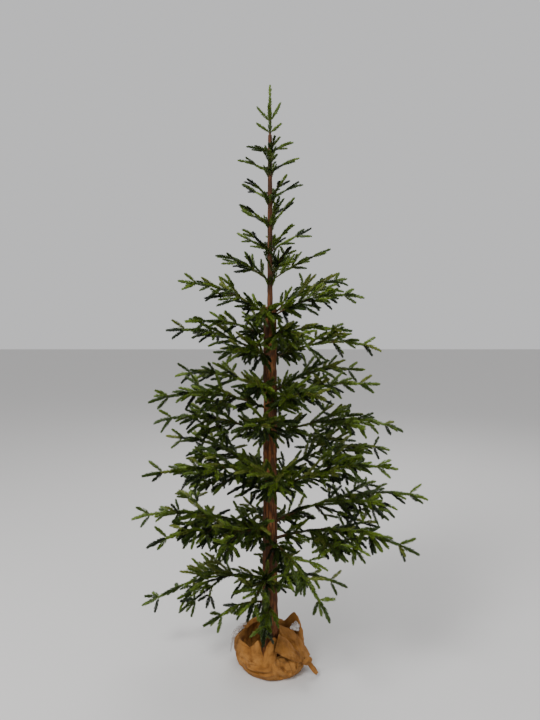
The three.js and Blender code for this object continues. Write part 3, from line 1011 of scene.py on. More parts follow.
@dataclass
class Growth:
    """Carries a branch's twigs on to sprigs: pairs along each twig, feet, and finer twigs between.

    Pairs of numbers are the ends of a range. Angles are in degrees. Radii, spacings and the whorl's
    start are in metres; a prong's, side sprig's, foot's or whorl's length and width are shares of
    the usual ones.
    """

    # The sprigs' own sizes, and how their greens are dealt out: lighter greens towards a branch's tip and
    # upper side as painted light, darker ones inwards and below as painted shade, and darker all over by
    # shade, also painted shade.
    sprig_length: float = 0.060
    tooth_length: float = 0.048
    tooth_base: float = 0.024
    tooth_angle: float = 40.0
    trunk_clearance: float = 0.004
    shortest: float = 0.006
    droop: float = 0.1
    bend_jitter: float = 0.12
    fullness: float = 1.0
    # painted shade: lowers every roll, so darker greens come more often
    shade: float = 0.0
    # painted light: raise the roll towards a branch's tip and on its upper side
    outer_light: float = 0.12
    upper_light: float = 0.22
    light_height: float = 0.03

    # The branch's stem and the needles that clad it.
    segment: float = 0.052
    overlap: float = 0.004
    stem_rings: int = 14
    stem_sunk: float = 0.003
    stem_root_radius: float = 0.0034
    stem_tip_radius: float = 0.0016
    clad_start: float = 0.55
    clad_gap: float = 0.01
    inner_width: float = 0.7

    # The prongs round the nodes of the branch's end.
    tip_prongs: int = 3
    root_prongs: int = 2
    tip_width: float = 1.15
    prong_roll: Pair = (60.0, 120.0)
    prong_turn: float = 20.0
    prong_lean: float = 8.0
    prong_length: Pair = (0.9, 1.1)

    # The twigs with their pairs of side sprigs, and a third sprig at some of the pairs.
    twig_radius: float = 0.0019
    twig_tip_radius: float = 0.0014
    sag: Pair = (-0.12, 0.05)
    first_pair: float = 0.044
    pair_spacing: float = 0.058
    pair_lean: float = 9.0
    pair_turn: float = 34.0
    pair_length: Pair = (0.88, 1.12)
    pair_width: Pair = (0.85, 1.1)
    third_chance: float = 0.8
    fine_third_chance: float = 0.6
    third_above: float = 0.65
    third_lean: Pair = (30.0, 52.0)
    third_length: float = 0.9
    third_width: float = 0.95

    # The side twigs that end in a foot of three sprigs.
    foot_stem: float = 0.66
    foot_middle: float = 0.92
    foot_thickness: float = 0.8
    foot_tip_radius: float = 0.0013
    foot_clad: float = 0.85
    foot_width: float = 0.95
    toe_angle: float = 38.0
    toe_lean: float = 8.0
    toe_turn: float = 20.0
    toe_length: Pair = (0.75, 0.95)

    # The finer twigs between the source's pairs, none at as many of the last nodes.
    airy_nodes: int = 0
    between_tilts: tuple[float, ...] = (12.0, -38.0)
    between: LooseTwigs = LooseTwigs((8.0, 56.0), 18.0, (0.85, 1.1))
    between_growth: float = 0.52
    growth_tilt: float = 1.4
    loose_roll: float = 60.0

    # The sprigs round the branch's root, and the steep twigs along its bare part.
    whorl_sprigs: int = 5
    whorl_start: Pair = (0.003, 0.045)
    whorl_turn: float = 78.0
    whorl_tilt: Pair = (-48.0, 24.0)
    whorl_length: Pair = (0.8, 1.1)
    inner_places: tuple[float, ...] = (0.4, 0.75)
    inner_tilts: tuple[float, ...] = (20.0, -32.0)
    inner: LooseTwigs = LooseTwigs((12.0, 66.0), 12.0, (0.8, 1.35))

    sprigs: list[Sprig] = field(default_factory=list)
    stems: list[tuple[Array, Array]] = field(default_factory=list)

    def grow(self, branch: Branch, trunk_radius: Callable[[float], float]) -> None:
        """Grows one branch.

        Args:
            branch: the branch.
            trunk_radius: gives the trunk's radius at a height.
        """
        self.branch = branch
        self.trunk_radius = trunk_radius
        self.dice = Dice(branch.seed + FINE_SEED)
        self._stem()
        tip, *twigs = branch.twigs()
        self._tip(tip)
        for twig in twigs:
            if branch.holds(twig.root + twig.along * twig.length):
                self._twig(twig)
        self._between()
        self._whorl()

    def add_stem(self, course: list[Vector], root_radius: float, tip_radius: float) -> None:
        """Adds a bare stem.

        Args:
            course: places along it.
            root_radius: its radius at the first place.
            tip_radius: its radius at the last place.
        """
        self.stems.append((np.array(course), np.linspace(root_radius, tip_radius, len(course))))

    def _tint(self, place: Vector) -> Tint:
        """Rolls a green for a sprig: lighter towards the branch's tip and upper side as painted light, darker
        inwards and below as painted shade, and darker by the growth's shade, also painted shade.

        Args:
            place: the sprig's tip.

        Returns:
            The green.
        """
        outer = min(place.dot(self.branch.out) / self.branch.reach, 1.0)
        height = (place.z - self.branch.at(max(outer, 0.0)).z) / self.light_height
        above = max(-1.0, min(1.0, height))
        # The place lifts the roll as painted light, and shade lowers it as painted shade.
        value = self.dice.roll() + self.outer_light * (outer - 0.5) + self.upper_light * above - self.shade
        return next((tint for tint, limit in TINT_LIMITS.items() if value < limit), Tint.OLIVE)

    def _sprig(self, root: Vector, way: Vector, flat: Vector, length: float, width: float = 1.0) -> bool:
        """Adds a sprig unless its tip would leave the branch's space or come near the trunk.

        Args:
            root: where it starts.
            way: its direction.
            flat: the normal of its flat side.
            length: its length.
            width: its width, as a share of the usual one.

        Returns:
            True if it was added.
        """
        tip = root + way * length
        near = math.hypot(tip.x, tip.y) < self.trunk_radius(tip.z) + self.trunk_clearance
        if near or not self.branch.holds(tip):
            return False
        bend = self.dice.spread(self.bend_jitter) - math.copysign(self.droop, flat.z)
        self.sprigs.append(Sprig(root, way, flat, length, width * self.fullness, bend, self._tint(tip)))
        return True

    def _clad(self, course: list[Vector], flat: Vector, width: float = 1.0) -> None:
        """Needles close along a stem.

        Args:
            course: places along the stem, about a sprig's length apart.
            flat: the normal of the flat side.
            width: their width, as a share of the usual one.
        """
        for root, end in zip(course, course[1:]):
            way = end - root
            length, wide, tint = way.length + self.overlap, width * self.fullness, self._tint(end)
            self.sprigs.append(Sprig(root, way.normalized(), flat, length, wide, 0.0, tint, True))

    def _stem(self) -> None:
        """The branch's main stem as a tube, clad in needles from near the trunk outwards."""
        branch = self.branch
        start = (self.trunk_radius(branch.root_z) - self.stem_sunk) / branch.reach
        shares = np.linspace(start, branch.tip_share, self.stem_rings)
        self.add_stem([branch.at(s) for s in shares], self.stem_root_radius, self.stem_tip_radius)
        inner = max(branch.bare_share * self.clad_start, start + self.clad_gap)
        parts = (inner, branch.bare_share, self.inner_width), (branch.bare_share, branch.tip_share, 1.0)
        for low, high, width in parts:
            count = max(1, round((high - low) * branch.length / self.segment))
            self._clad([branch.at(s) for s in np.linspace(low, high, count + 1)], UP, width)

    def _tip(self, twig: Twig) -> None:
        """The branch's end: a straight clad stem with prongs round its nodes, and a last sprig.

        Args:
            twig: the branch's first twig.
        """
        end = max(0.0, twig.length - self.sprig_length)
        node = twig.root + twig.along * end
        if end > self.shortest:
            self.add_stem([twig.root, node], self.twig_radius, self.twig_tip_radius)
            self._clad([twig.root, node], twig.plane, self.tip_width)
        self._sprig(node, twig.along, twig.plane, twig.length - end, self.tip_width)
        for place, prongs in ((node, self.tip_prongs), (twig.root, self.root_prongs)):
            roll = self.dice.between(*self.prong_roll)
            for k in range(prongs):
                turn = roll + 360 * k / prongs + self.dice.spread(self.prong_turn)
                outward = turned(twig.plane, twig.along, turn)
                lean = self.tooth_angle + self.dice.spread(self.prong_lean)
                way = leaned(twig.along, outward, lean).normalized()
                length = self.tooth_length * self.dice.between(*self.prong_length)
                self._sprig(place, way, twig.along.cross(outward), length)

    def _twig(self, twig: Twig, finer: bool = True) -> None:
        """A twig: its clad stem, pairs of side sprigs along it, and a sprig at its end.

        Args:
            twig: the twig.
            finer: True if its inner sprigs may branch once more.
        """
        lift = (UP - twig.along * twig.along.z).normalized()
        curve = self.dice.between(*self.sag) / twig.length

        def at(x: float) -> Vector:
            """Gives a place on the bent twig."""
            return twig.root + twig.along * x + lift * (curve * x * x)

        def heading(x: float) -> Vector:
            """Gives the bent twig's direction."""
            return (twig.along + lift * (2 * curve * x)).normalized()

        last_pair = twig.length - self.sprig_length - self.tooth_base / 2
        more = max(0, math.floor((last_pair - self.first_pair) / self.pair_spacing + 0.5))
        pairs = 1 + more if last_pair > self.first_pair / 2 else 0
        gap = (last_pair - self.first_pair) / (pairs - 1) if pairs > 1 else 0.0
        end = max(0.0, twig.length - self.sprig_length)
        if end > self.shortest:
            course = [at(x) for x in np.linspace(0, end, max(1, round(end / self.segment)) + 1)]
            self.add_stem(course, self.twig_radius, self.twig_tip_radius)
            self._clad(course, twig.plane)
        self._sprig(at(end), heading(end), twig.plane, twig.length - end)
        for inner in reversed(range(pairs)):
            place = last_pair - inner * gap + self.tooth_base / 2
            self._pair(at(place), heading(place), twig.plane, finer and inner > 0)
            if self.dice.roll() < (self.third_chance if finer else self.fine_third_chance):
                self._third(at(place), heading(place), twig.plane)

    def _pair(self, node: Vector, along: Vector, plane: Vector, feet: bool) -> None:
        """A pair of side sprigs.

        Args:
            node: where they start.
            along: the twig's direction there.
            plane: the normal of the twig's plane.
            feet: True if they branch once more.
        """
        across = plane.cross(along).normalized()
        for hand in (1, -1):
            way = leaned(along, across * hand, self.tooth_angle + self.dice.spread(self.pair_lean))
            way = turned(way, along, self.dice.spread(self.pair_turn)).normalized()
            length = self.tooth_length * self.dice.between(*self.pair_length)
            if feet:
                self._foot(node, way, plane, length)
            else:
                self._sprig(node, way, plane, length, self.dice.between(*self.pair_width))

    def _third(self, node: Vector, along: Vector, plane: Vector) -> None:
        """A sprig above or below a pair.

        Args:
            node: where it starts.
            along: the twig's direction there.
            plane: the normal of the twig's plane.
        """
        hand = 1 if self.dice.roll() < self.third_above else -1
        way = leaned(along, plane * hand, self.dice.between(*self.third_lean)).normalized()
        self._sprig(node, way, along.cross(way), self.tooth_length * self.third_length, self.third_width)

    def _foot(self, root: Vector, way: Vector, plane: Vector, length: float) -> None:
        """A side twig that ends in a foot of three sprigs.

        Args:
            root: where it starts.
            way: its direction.
            plane: the normal of the foot's plane.
            length: the length of a sprig.
        """
        node = root + way * (length * self.foot_stem)
        if not self._sprig(node, way, plane, length * self.foot_middle):
            self._sprig(root, way, plane, length, self.foot_width)
            return
        self.add_stem([root, node], self.twig_radius * self.foot_thickness, self.foot_tip_radius)
        self._clad([root, node], plane, self.foot_clad)
        across = plane.cross(way).normalized()
        for hand in (1, -1):
            toe = leaned(way, across * hand, self.toe_angle + self.dice.spread(self.toe_lean)).normalized()
            toe = turned(toe, way, self.dice.spread(self.toe_turn))
            self._sprig(node, toe, plane, length * self.dice.between(*self.toe_length), self.foot_width)

    def _between(self) -> None:
        """Finer twigs between the source's pairs, that rise and droop out of the branch's plane."""
        branch = self.branch
        count, leafy, step_length = branch.steps()
        for k in range(self.airy_nodes, count):
            share = branch.tip_share - leafy * (k + 0.5) / count
            for hand in (1, -1):
                for tilt in self.between_tilts:
                    slope = math.radians(self.growth_tilt * tilt)
                    more = self.between_growth * step_length * k * math.cos(slope)
                    self._loose_twig(self.between, share, hand, tilt, more)

    def _whorl(self) -> None:
        """Sprigs round the branch's root, and steep twigs along its bare part."""
        branch = self.branch
        start = self.trunk_radius(branch.root_z) / branch.reach
        for _ in range(self.whorl_sprigs):
            root = branch.at(start + self.dice.between(*self.whorl_start) / branch.reach)
            way = aimed(branch.out, self.dice.spread(self.whorl_turn), self.dice.between(*self.whorl_tilt))
            length = self.sprig_length * self.dice.between(*self.whorl_length)
            self._sprig(root, way, turned(UP, way, self.dice.spread(self.loose_roll)), length)
        for place in self.inner_places:
            share = start + (branch.bare_share - start) * place
            for tilt in self.inner_tilts:
                for hand in (1, -1):
                    self._loose_twig(self.inner, share, hand, tilt)

    def _loose_twig(self, kind: LooseTwigs, share: float, hand: int, tilt: float, more: float = 0.0) -> None:
        """A finer twig out of the branch's plane.

        Args:
            kind: the kind of twig.
            share: where on the branch it starts.
            hand: 1 for the left side and -1 for the right one.
            tilt: its tilt in degrees.
            more: what its place on the branch adds to its length.
        """
        along = aimed(
            self.branch.heading(share),
            hand * self.dice.between(*kind.turn),
            tilt + self.dice.spread(kind.tilt),
        )
        plane = turned(UP, along, self.dice.spread(self.loose_roll))
        length = self.sprig_length * self.dice.between(*kind.length) + more
        self._twig(Twig(self.branch.at(share), along, plane, length), finer=False)


@dataclass(frozen=True)
class HangingTwigs:
    """Twigs that hang along the trunk's front from the lowest branches' roots, into the sack."""

    count: int = 9
    seed: int = 6900
    first_turn: float = 220.0
    turns: float = 52.0
    heights: Pair = (0.174, 0.248)
    trunk_gap: float = 0.002
    outward: Pair = (0.14, 0.28)
    stem_length: Pair = (0.030, 0.048)
    stem_radii: Pair = (0.0018, 0.0013)
    stem_width: float = 0.9
    overlap: float = 0.004
    end_outward: Pair = (-0.10, 0.04)
    end_length: Pair = (0.046, 0.060)
    end_bend: float = 0.05
    toe_aside: Pair = (0.2, 0.42)
    toe_length: Pair = (0.034, 0.046)
    toe_width: float = 0.95
    tints: tuple[Tint, ...] = (Tint.SHADE, Tint.MID, Tint.FRESH)

    def grow(self, growth: Growth, trunk: "Trunk") -> None:
        """Grows the twigs.

        Args:
            growth: takes their sprigs and stems.
            trunk: the trunk that they hang along.
        """
        dice = Dice(self.seed)
        for k in range(self.count):
            out = level(math.radians(self.first_turn + self.turns * (k + dice.roll()) / self.count))
            z = dice.between(*self.heights)
            root = out * (trunk.radius_at(z) + self.trunk_gap) + UP * z
            way = (out * dice.between(*self.outward) - UP).normalized()
            node = root + way * dice.between(*self.stem_length)
            down = (out * dice.between(*self.end_outward) - UP).normalized()
            tint = self.tints[k % len(self.tints)]
            clad_length, end_length = (node - root).length + self.overlap, dice.between(*self.end_length)
            aside = Vector((-out.y, out.x, 0.0)) * (1 if k % 2 else -1)
            toe = (down + aside * dice.between(*self.toe_aside)).normalized()
            toe_length = dice.between(*self.toe_length)
            growth.add_stem([root, node], *self.stem_radii)
            growth.sprigs.append(Sprig(root, way, out, clad_length, self.stem_width, 0.0, tint, True))
            growth.sprigs.append(Sprig(node, down, out, end_length, 1.0, self.end_bend, tint))
            growth.sprigs.append(Sprig(node, toe, out, toe_length, self.toe_width, 0.0, Tint.SHADE))


@dataclass(frozen=True)
class Collar:
    """Short sprigs that hug the upper trunk at a tier."""

    count: int = 8
    seed: int = 6000
    turn_jitter: float = 0.4
    trunk_gap: float = 0.0005
    height: float = 0.026
    outward: Pair = (0.2, 0.5)
    shaded: float = 0.6
    length: Pair = (0.024, 0.040)
    width: float = 0.7
    bend: float = 0.05

    def grow(self, growth: Growth, millimetres: int, trunk: "Trunk") -> None:
        """Grows the sprigs of one tier.

        Args:
            growth: takes the sprigs.
            millimetres: the tier's height.
            trunk: the trunk that they stand on.
        """
        dice = Dice(self.seed + millimetres)
        z = millimetres / MM_IN_M
        radius = trunk.radius_at(z)
        for k in range(self.count):
            out = level(TAU * (k + self.turn_jitter * dice.roll()) / self.count)
            root = out * (radius + self.trunk_gap) + UP * (z - self.height + self.height * dice.roll())
            way = (UP + out * dice.between(*self.outward)).normalized()
            tint = Tint.SHADE if dice.roll() < self.shaded else Tint.MID
            length = dice.between(*self.length)
            growth.sprigs.append(Sprig(root, way, out, length, self.width, self.bend, tint))


class LeaderSprig(NamedTuple):
    """A rising sprig of the leader: its root above the foot, its turn, its length and its slope."""

    z: float
    turn: float
    length: float
    lift: float


@dataclass(frozen=True)
class Leader:
    """The tree's top: an upright brush in parts, with rings of rising sprigs given in millimetres."""

    foot: float = 1.671
    top: float = 1.83
    # The parts' greens from the foot up: darker at the foot as painted shade, lighter at the top as painted
    # light.
    tints: tuple[Tint, ...] = (Tint.SHADE, Tint.MID, Tint.MID, Tint.FRESH)
    widths: tuple[float, ...] = (1.3, 1.15, 1.05, 1.0)
    turn: float = 1.1
    needle_reach: float = 0.006
    sprigs: tuple[LeaderSprig, ...] = (
        LeaderSprig(8, 178, 48, 32),
        LeaderSprig(8, 8, 44, 36),
        LeaderSprig(43, 180, 58, 45),
        LeaderSprig(43, 0, 64, 57),
        LeaderSprig(43, 262, 50, 50),
        LeaderSprig(43, 95, 52, 48),
    )
    bend: float = 0.06
    stem_sunk: float = 0.002
    stem_share: float = 0.9
    stem_radii: tuple[float, ...] = (0.0045, 0.003, 0.0014)

    def growth(self) -> Growth:
        """Grows the leader.

        Returns:
            Its sprigs and its stem.
        """
        growth = Growth()
        height = self.top - self.foot
        parts = len(self.widths)
        for k, (tint, width) in enumerate(zip(self.tints, self.widths)):
            root = Vector((0.0, 0.0, self.foot + height * k / parts))
            length = height / parts - (self.needle_reach if k == parts - 1 else 0.0)
            growth.sprigs.append(Sprig(root, UP, level(self.turn * k), length, width, 0.0, tint, True))
        for sprig in self.sprigs:
            way = level(math.radians(sprig.turn))
            way.z = math.tan(math.radians(sprig.lift))
            root = Vector((0.0, 0.0, self.foot + sprig.z / MM_IN_M))
            length = sprig.length / MM_IN_M
            growth.sprigs.append(Sprig(root, way.normalized(), UP, length, 1.0, self.bend, Tint.MID))
        shares = np.linspace(0, 1, len(self.stem_radii))
        course = [[0.0, 0.0, self.foot - self.stem_sunk + height * self.stem_share * t] for t in shares]
        growth.stems.append((np.array(course), np.array(self.stem_radii)))
        return growth


@dataclass(frozen=True)
class Tier:
    """A tier on the lower trunk: its roots' height and its four branches' courses.

    The finer twigs have these tilts, and stay away from as many of a branch's last nodes.
    """

    z: int
    right: Course
    left: Course
    front: Course
    back: Course
    tilts: tuple[float, ...] = (12.0, -38.0)
    airy_nodes: int = 0


class UpperTier(NamedTuple):
    """A tier on the upper trunk: its height, its reach and rise to either side, and its branches."""

    z: int
    right: float
    left: float
    rise_right: float
    rise_left: float
    count: int
    root_prongs: int = 0
    inner_places: tuple[float, ...] = ()


@dataclass
class Crown:
    """The needled crown: eleven tiers on the lower trunk, six on the upper one, and the leader.

    The tables are in millimetres and degrees.
    """

    tiers: tuple[Tier, ...] = (
        Tier(1095, (-6, 290, 69), (172, 296, 116), (262, 250, -5), (36, 325, 129), (12, -40)),
        Tier(1035, (-14, 254, 18), (194, 264, 48), (300, 240, 3), (110, 250, 53), (22, -20)),
        Tier(950, (4, 355, 48), (178, 327, 106), (240, 280, 40), (70, 280, 22)),
        Tier(850, (24, 348, 63), (158, 341, 50), (262, 260, 42), (104, 270, 0)),
        Tier(808, (-16, 340, 86), (198, 377, 41), (300, 300, 68), (62, 290, 18)),
        Tier(702, (3, 425, 37), (175, 373, 60), (264, 330, 100), (88, 310, -12)),
        Tier(578, (24, 450, 60), (160, 368, 113), (230, 350, 76), (106, 320, -20)),
        Tier(540, (-16, 393, 105), (194, 393, 80), (272, 360, 119), (64, 340, -11)),
        Tier(422, (2, 501, 100), (177, 441, 31), (245, 330, 45), (92, 360, -50), (-30, -50), 1),
        Tier(382, (-24, 464, 41), (205, 391, 58), (301, 319, -104), (120, 340, -69), (-24, -36, -48)),
        Tier(268, (10, 252, -42), (172, 417, -114), (259, 314, 35), (75, 280, -40), (50, 34, 14), 1),
    )
    lowest: tuple[tuple[str, int, Course], ...] = (
        ("low_left", 205, (208, 222, -32)),
        ("low_front", 205, (262, 150, -62)),
    )
    upper_tiers: tuple[UpperTier, ...] = (
        UpperTier(1206, 187, 192, 104, 82, 5, 2, (0.6,)),
        UpperTier(1300, 132, 112, 78, 66, 5, 2),
        UpperTier(1383, 76, 112, 86, 60, 5),
        UpperTier(1465, 98, 96, 62, 55, 5),
        UpperTier(1551, 83, 93, 54, 50, 4),
        UpperTier(1614, 68, 68, 44, 26, 4),
    )
    tier_seeds: int = 100
    lowest_seed: int = 1200
    upper_seed: int = 5000
    upper_turn: float = 12.0
    upper_bare_share: float = 0.26
    upper_hump: float = 0.05
    main_bough_reach: float = 0.44
    bough_sunk: float = 0.004
    bough_radii: Pair = (0.0052, 0.0036)
    bough_rings: int = 40
    bough_sides: int = 10
    winding_depth: float = 0.07
    winding_step: float = 1.9
    stem_sides: int = 6
    needles: Needles = field(default_factory=Needles)

    def build(self, trunk: "Trunk") -> Iterable[Piece]:
        """Builds the crown's pieces, tier by tier.

        Args:
            trunk: the trunk that the branches leave.

        Returns:
            The pieces, one by one.
        """
        self.greens = [NEEDLE_FINISHES[tint].material() for tint in Tint]
        self.stem_material = StemFinish().material()
        boughs = Soup()
        for i, tier in enumerate(self.tiers):
            growth = Growth(between_tilts=tier.tilts, airy_nodes=tier.airy_nodes)
            branches = self._tier_branches(i, tier)
            for branch in branches:
                growth.grow(branch, trunk.radius_at)
                if branch.reach > self.main_bough_reach:
                    self._bough(boughs, branch, trunk)
            nodes = [f"foliage_{branch.name}" for branch in branches]
            yield from self._pieces(f"tier_{i + 1}", growth, nodes)

        few = Growth(between_tilts=(-28.0,), whorl_sprigs=2, inner_places=(0.6,), inner_tilts=(-20.0,))
        for k, (name, z, course) in enumerate(self.lowest):
            few.grow(lower_branch(name, self.lowest_seed + k, z, course), trunk.radius_at)
        HangingTwigs().grow(few, trunk)
        yield from self._pieces("lowest", few, [f"foliage_{name}" for name, *_ in self.lowest])

        upper = Growth(
            stem_root_radius=0.0026,
            twig_radius=0.0016,
            between_tilts=(36.0, -20.0),
            # painted shade: darker greens all over the upper tiers
            shade=0.14,
            whorl_sprigs=0,
            inner_tilts=(26.0,),
            tip_prongs=2,
            fullness=0.84,
        )
        for i, tier in enumerate(self.upper_tiers):
            upper.root_prongs = tier.root_prongs
            upper.inner_places = tier.inner_places
            for branch in self._upper_branches(i, tier):
                upper.grow(branch, trunk.radius_at)
            Collar().grow(upper, tier.z, trunk)
        nodes = [f"foliage_upper_{i + 1}" for i in range(len(self.upper_tiers))]
        yield from self._pieces("upper", upper, nodes)
        yield from self._pieces("leader", Leader().growth(), ["leader"])

        wound = boughs.piece("boughs", self.stem_material)
        yield finished(wound, Slot.BOUGH, [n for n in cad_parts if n.startswith("bough_")])

    def _tier_branches(self, i: int, tier: Tier) -> list[Branch]:
        """The branches of a tier of the lower trunk.

        Args:
            i: the tier's number from 0.
            tier: the tier.

        Returns:
            Its four branches.
        """
        courses = {"right": tier.right, "left": tier.left, "front": tier.front, "back": tier.back}
        seed = self.tier_seeds * (i + 1)
        return [
            lower_branch(f"tier_{i + 1}_{side}", seed + k, tier.z, course)
            for k, (side, course) in enumerate(courses.items())
        ]

    def _upper_branches(self, i: int, tier: UpperTier) -> list[Branch]:
        """The branches of a tier of the upper trunk, evenly round it.

        Args:
            i: the tier's number from 0.
            tier: the tier.

        Returns:
            Its branches.
        """
        z, right, left, rise_right, rise_left = (value / MM_IN_M for value in tier[:5])
        branches = []
        for k in range(tier.count):
            azimuth = 360 * k / tier.count + self.upper_turn * (i % 2)
            to_right = (1 + math.cos(math.radians(azimuth))) / 2
            reach = left + (right - left) * to_right
            rise = rise_left + (rise_right - rise_left) * to_right
            name, seed = f"upper_{i + 1}_{k + 1}", self.upper_seed + self.tier_seeds * i + k
            shape = self.upper_bare_share, self.upper_hump, 0.0
            branches.append(Branch(name, seed, z, azimuth, reach, rise, *shape))
        return branches

    def _bough(self, soup: Soup, branch: Branch, trunk: "Trunk") -> None:
        """The thick bare start of a long branch, wound with tape.

        Args:
            soup: the boughs' parts.
            branch: the branch.
            trunk: the trunk that it leaves.
        """
        count = self.bough_rings
        start = (trunk.radius_at(branch.root_z) - self.bough_sunk) / branch.reach
        course = np.array([branch.at(s) for s in np.linspace(start, branch.bare_share, count)])
        swell = 1 + self.winding_depth * np.sin(np.arange(count) * self.winding_step)
        soup.add(*tube(course, np.linspace(*self.bough_radii, count) * swell, self.bough_sides))

    def _pieces(self, label: str, growth: Growth, nodes: list[str]) -> Iterable[Piece]:
        """The needles and the twigs of a part of the crown.

        Args:
            label: the part's name.
            growth: its sprigs and stems.
            nodes: the nodes that it stands for.

        Returns:
            The two pieces.
        """
        seed = sum(ord(letter) for letter in label)
        needles, twigs = Soup(), Soup()
        self.needles.fill(needles, growth.sprigs, seed)
        self.needles.cores(twigs, growth.sprigs)
        for course, radii in growth.stems:
            twigs.add(*tube(course, radii, self.stem_sides))
        yield finished(needles.piece(f"needles_{label}", *self.greens), Slot.NEEDLES, nodes)
        yield finished(twigs.piece(f"twigs_{label}", self.stem_material), Slot.BOUGH, nodes)


def lower_branch(name: str, seed: int, z: int, course: Course) -> Branch:
    """Makes a branch of the lower trunk.

    Args:
        name: its name.
        seed: its seed in the part's source.
        z: its root's height in millimetres.
        course: where it goes.

    Returns:
        The branch.
    """
    azimuth, reach, rise = course
    return Branch(name, seed, z / MM_IN_M, azimuth, reach / MM_IN_M, rise / MM_IN_M)


# Trunk


@dataclass(frozen=True)
class TrunkSection:
    """A section of the trunk: its node, its radii by height, and the furrows and plates of its bark."""

    node: str
    profile: tuple[Pair, ...]
    columns: int
    seed: int
    furrow_depth: float = 0.0021
    row_height: float = 0.0045
    fewest_rows: int = 8
    fewest_furrows: int = 5
    furrow_width: float = 0.011
    furrow_length: float = 0.045
    warp_length: float = 0.05
    warp: float = 0.12
    fine_length: float = 0.012
    finer: int = 3
    seed_step: int = 20
    fine_share: float = 0.55
    ridge_share: float = 0.9
    ridge_slope: float = 2.6
    ridge_power: float = 0.7
    lift: float = 0.2
    end_length: float = 0.004

    def build(self, bark: Material) -> Piece:
        """Makes the section as a closed skin.

        Args:
            bark: its material.

        Returns:
            The piece.
        """
        heights, radii = np.array(self.profile).T
        length = heights[-1] - heights[0]
        rows = max(self.fewest_rows, round(length / self.row_height))
        share = np.linspace(0.0, 1.0, rows)[:, None]
        turn = (np.arange(self.columns) / self.columns)[None, :]
        z = heights[0] + share * length
        furrows = self._furrows(turn, share, length, TAU * radii.mean())
        at_ends = np.clip(np.minimum(share, 1 - share) * length / self.end_length, 0.0, 1.0)
        radius = np.interp(z, heights, radii) + self.furrow_depth * furrows * at_ends
        angle = TAU * turn
        points = np.stack([radius * np.cos(angle), radius * np.sin(angle), z + 0 * angle], -1).reshape(-1, 3)
        middles = np.array([[0.0, 0.0, heights[0]], [0.0, 0.0, heights[-1]]])
        low = fan(0, self.columns, len(points), flip=True)
        high = fan(len(points) - self.columns, self.columns, len(points) + 1)
        faces = np.concatenate([grid_faces(rows, self.columns), low, high])
        made = Soup().add(np.concatenate([points, middles]), faces).piece(f"bark_{self.node}", bark)
        return finished(made, Slot.BARK, [self.node])

    def _furrows(self, turn: Array, share: Array, length: float, girth: float) -> Array:
        """The relief of the bark.

        Args:
            turn: shares of one turn.
            share: shares of the section's length.
            length: the section's length.
            girth: its girth.

        Returns:
            The relief, from about -0.7 in a furrow to 0.75 on a plate.
        """
        around = max(self.fewest_furrows, round(girth / self.furrow_width))
        warp = LatticeNoise(self.seed, self.fewest_furrows, round(length / self.warp_length)).at(turn, share)
        plates = LatticeNoise(self.seed + self.seed_step, around, round(length / self.furrow_length))
        fine_rows = round(length / self.fine_length)
        small = LatticeNoise(self.seed + 2 * self.seed_step, around * self.finer, fine_rows)
        edge = np.abs(2 * plates.at(turn + self.warp * warp, share) - 1)
        ridge = np.clip(1 - edge * self.ridge_slope, 0.0, 1.0)
        fine = self.fine_share * small.at(turn, share)
        return fine - self.ridge_share * ridge**self.ridge_power + self.lift


@dataclass(frozen=True)
class Trunk:
    """The two trunk sections, the thin one in the thick one's socket."""

    lower: TrunkSection = TrunkSection(
        "lower_trunk",
        (
            (0.014, 0.0265),
            (0.120, 0.0255),
            (0.240, 0.0236),
            (0.380, 0.0224),
            (0.700, 0.0210),
            (1.122, 0.0202),
            (1.128, 0.0175),
        ),
        72,
        11,
    )
    upper: TrunkSection = TrunkSection(
        "upper_trunk",
        ((1.058, 0.0086), (1.168, 0.0086), (1.400, 0.0076), (1.671, 0.0060)),
        32,
        12,
        0.00084,
    )

    def radius_at(self, z: float) -> float:
        """Gives the trunk's radius at a height."""
        section = self.upper if z > self.lower.profile[-1][0] else self.lower
        return float(np.interp(z, *zip(*section.profile)))

    def build(self) -> Iterable[Piece]:
        """Builds the sections.

        Returns:
            The two pieces, one by one.
        """
        yield self.lower.build(BarkFinish().material())
        plate, worn, stain = (0.090, 0.028, 0.008), (0.135, 0.048, 0.016), (0.042, 0.016, 0.005)
        yield self.upper.build(BarkFinish("ThinBark", plate=plate, worn=worn, stain=stain).material())


# Base


@dataclass(frozen=True)
class Fold:
    """A peak or sag of the rim: where, how wide in degrees, how high and how far out."""

    at: float
    width: float
    up: float
    out: float

    def weight(self, azimuth: Array) -> Array:
        """Tells how strongly the fold acts, from 1 in its middle to 0 far from it."""
        off = (azimuth - self.at + 180) % 360 - 180
        return np.exp(-((off / self.width) ** 2))


@dataclass(frozen=True)
class Crease:
    """A valley across the sack's side, between two places of an azimuth in degrees and a height."""

    start: Pair
    end: Pair
    depth: float = 0.0045
    width: float = 0.0040
    lip: float = 0.45
    lip_at: float = 2.0
    girth_radius: float = 0.105

    def depth_at(self, azimuth: Array, height: Array) -> Array:
        """The valley's depth with a low lip on both its sides.

        Args:
            azimuth: degrees round the sack.
            height: heights in metres.

        Returns:
            The depth at each place.
        """
        first, last = (np.array([math.radians(a) * self.girth_radius, z]) for a, z in (self.start, self.end))
        place = np.stack([np.radians(azimuth) * self.girth_radius, height], -1)
        way = last - first
        share = np.clip(((place - first) @ way) / (way @ way), 0.0, 1.0)
        off = np.linalg.norm(place - first - share[..., None] * way, axis=-1) / self.width
        return self.depth * (np.exp(-(off**2)) - self.lip * np.exp(-((off - self.lip_at) ** 2)))


class Ring(NamedTuple):
    """A ring of the base, and how much of the rim's folds, the foot's shift and the pleats it takes."""

    radius: float
    z: float
    out: float
    up: float
    shift: float
    pleat: float


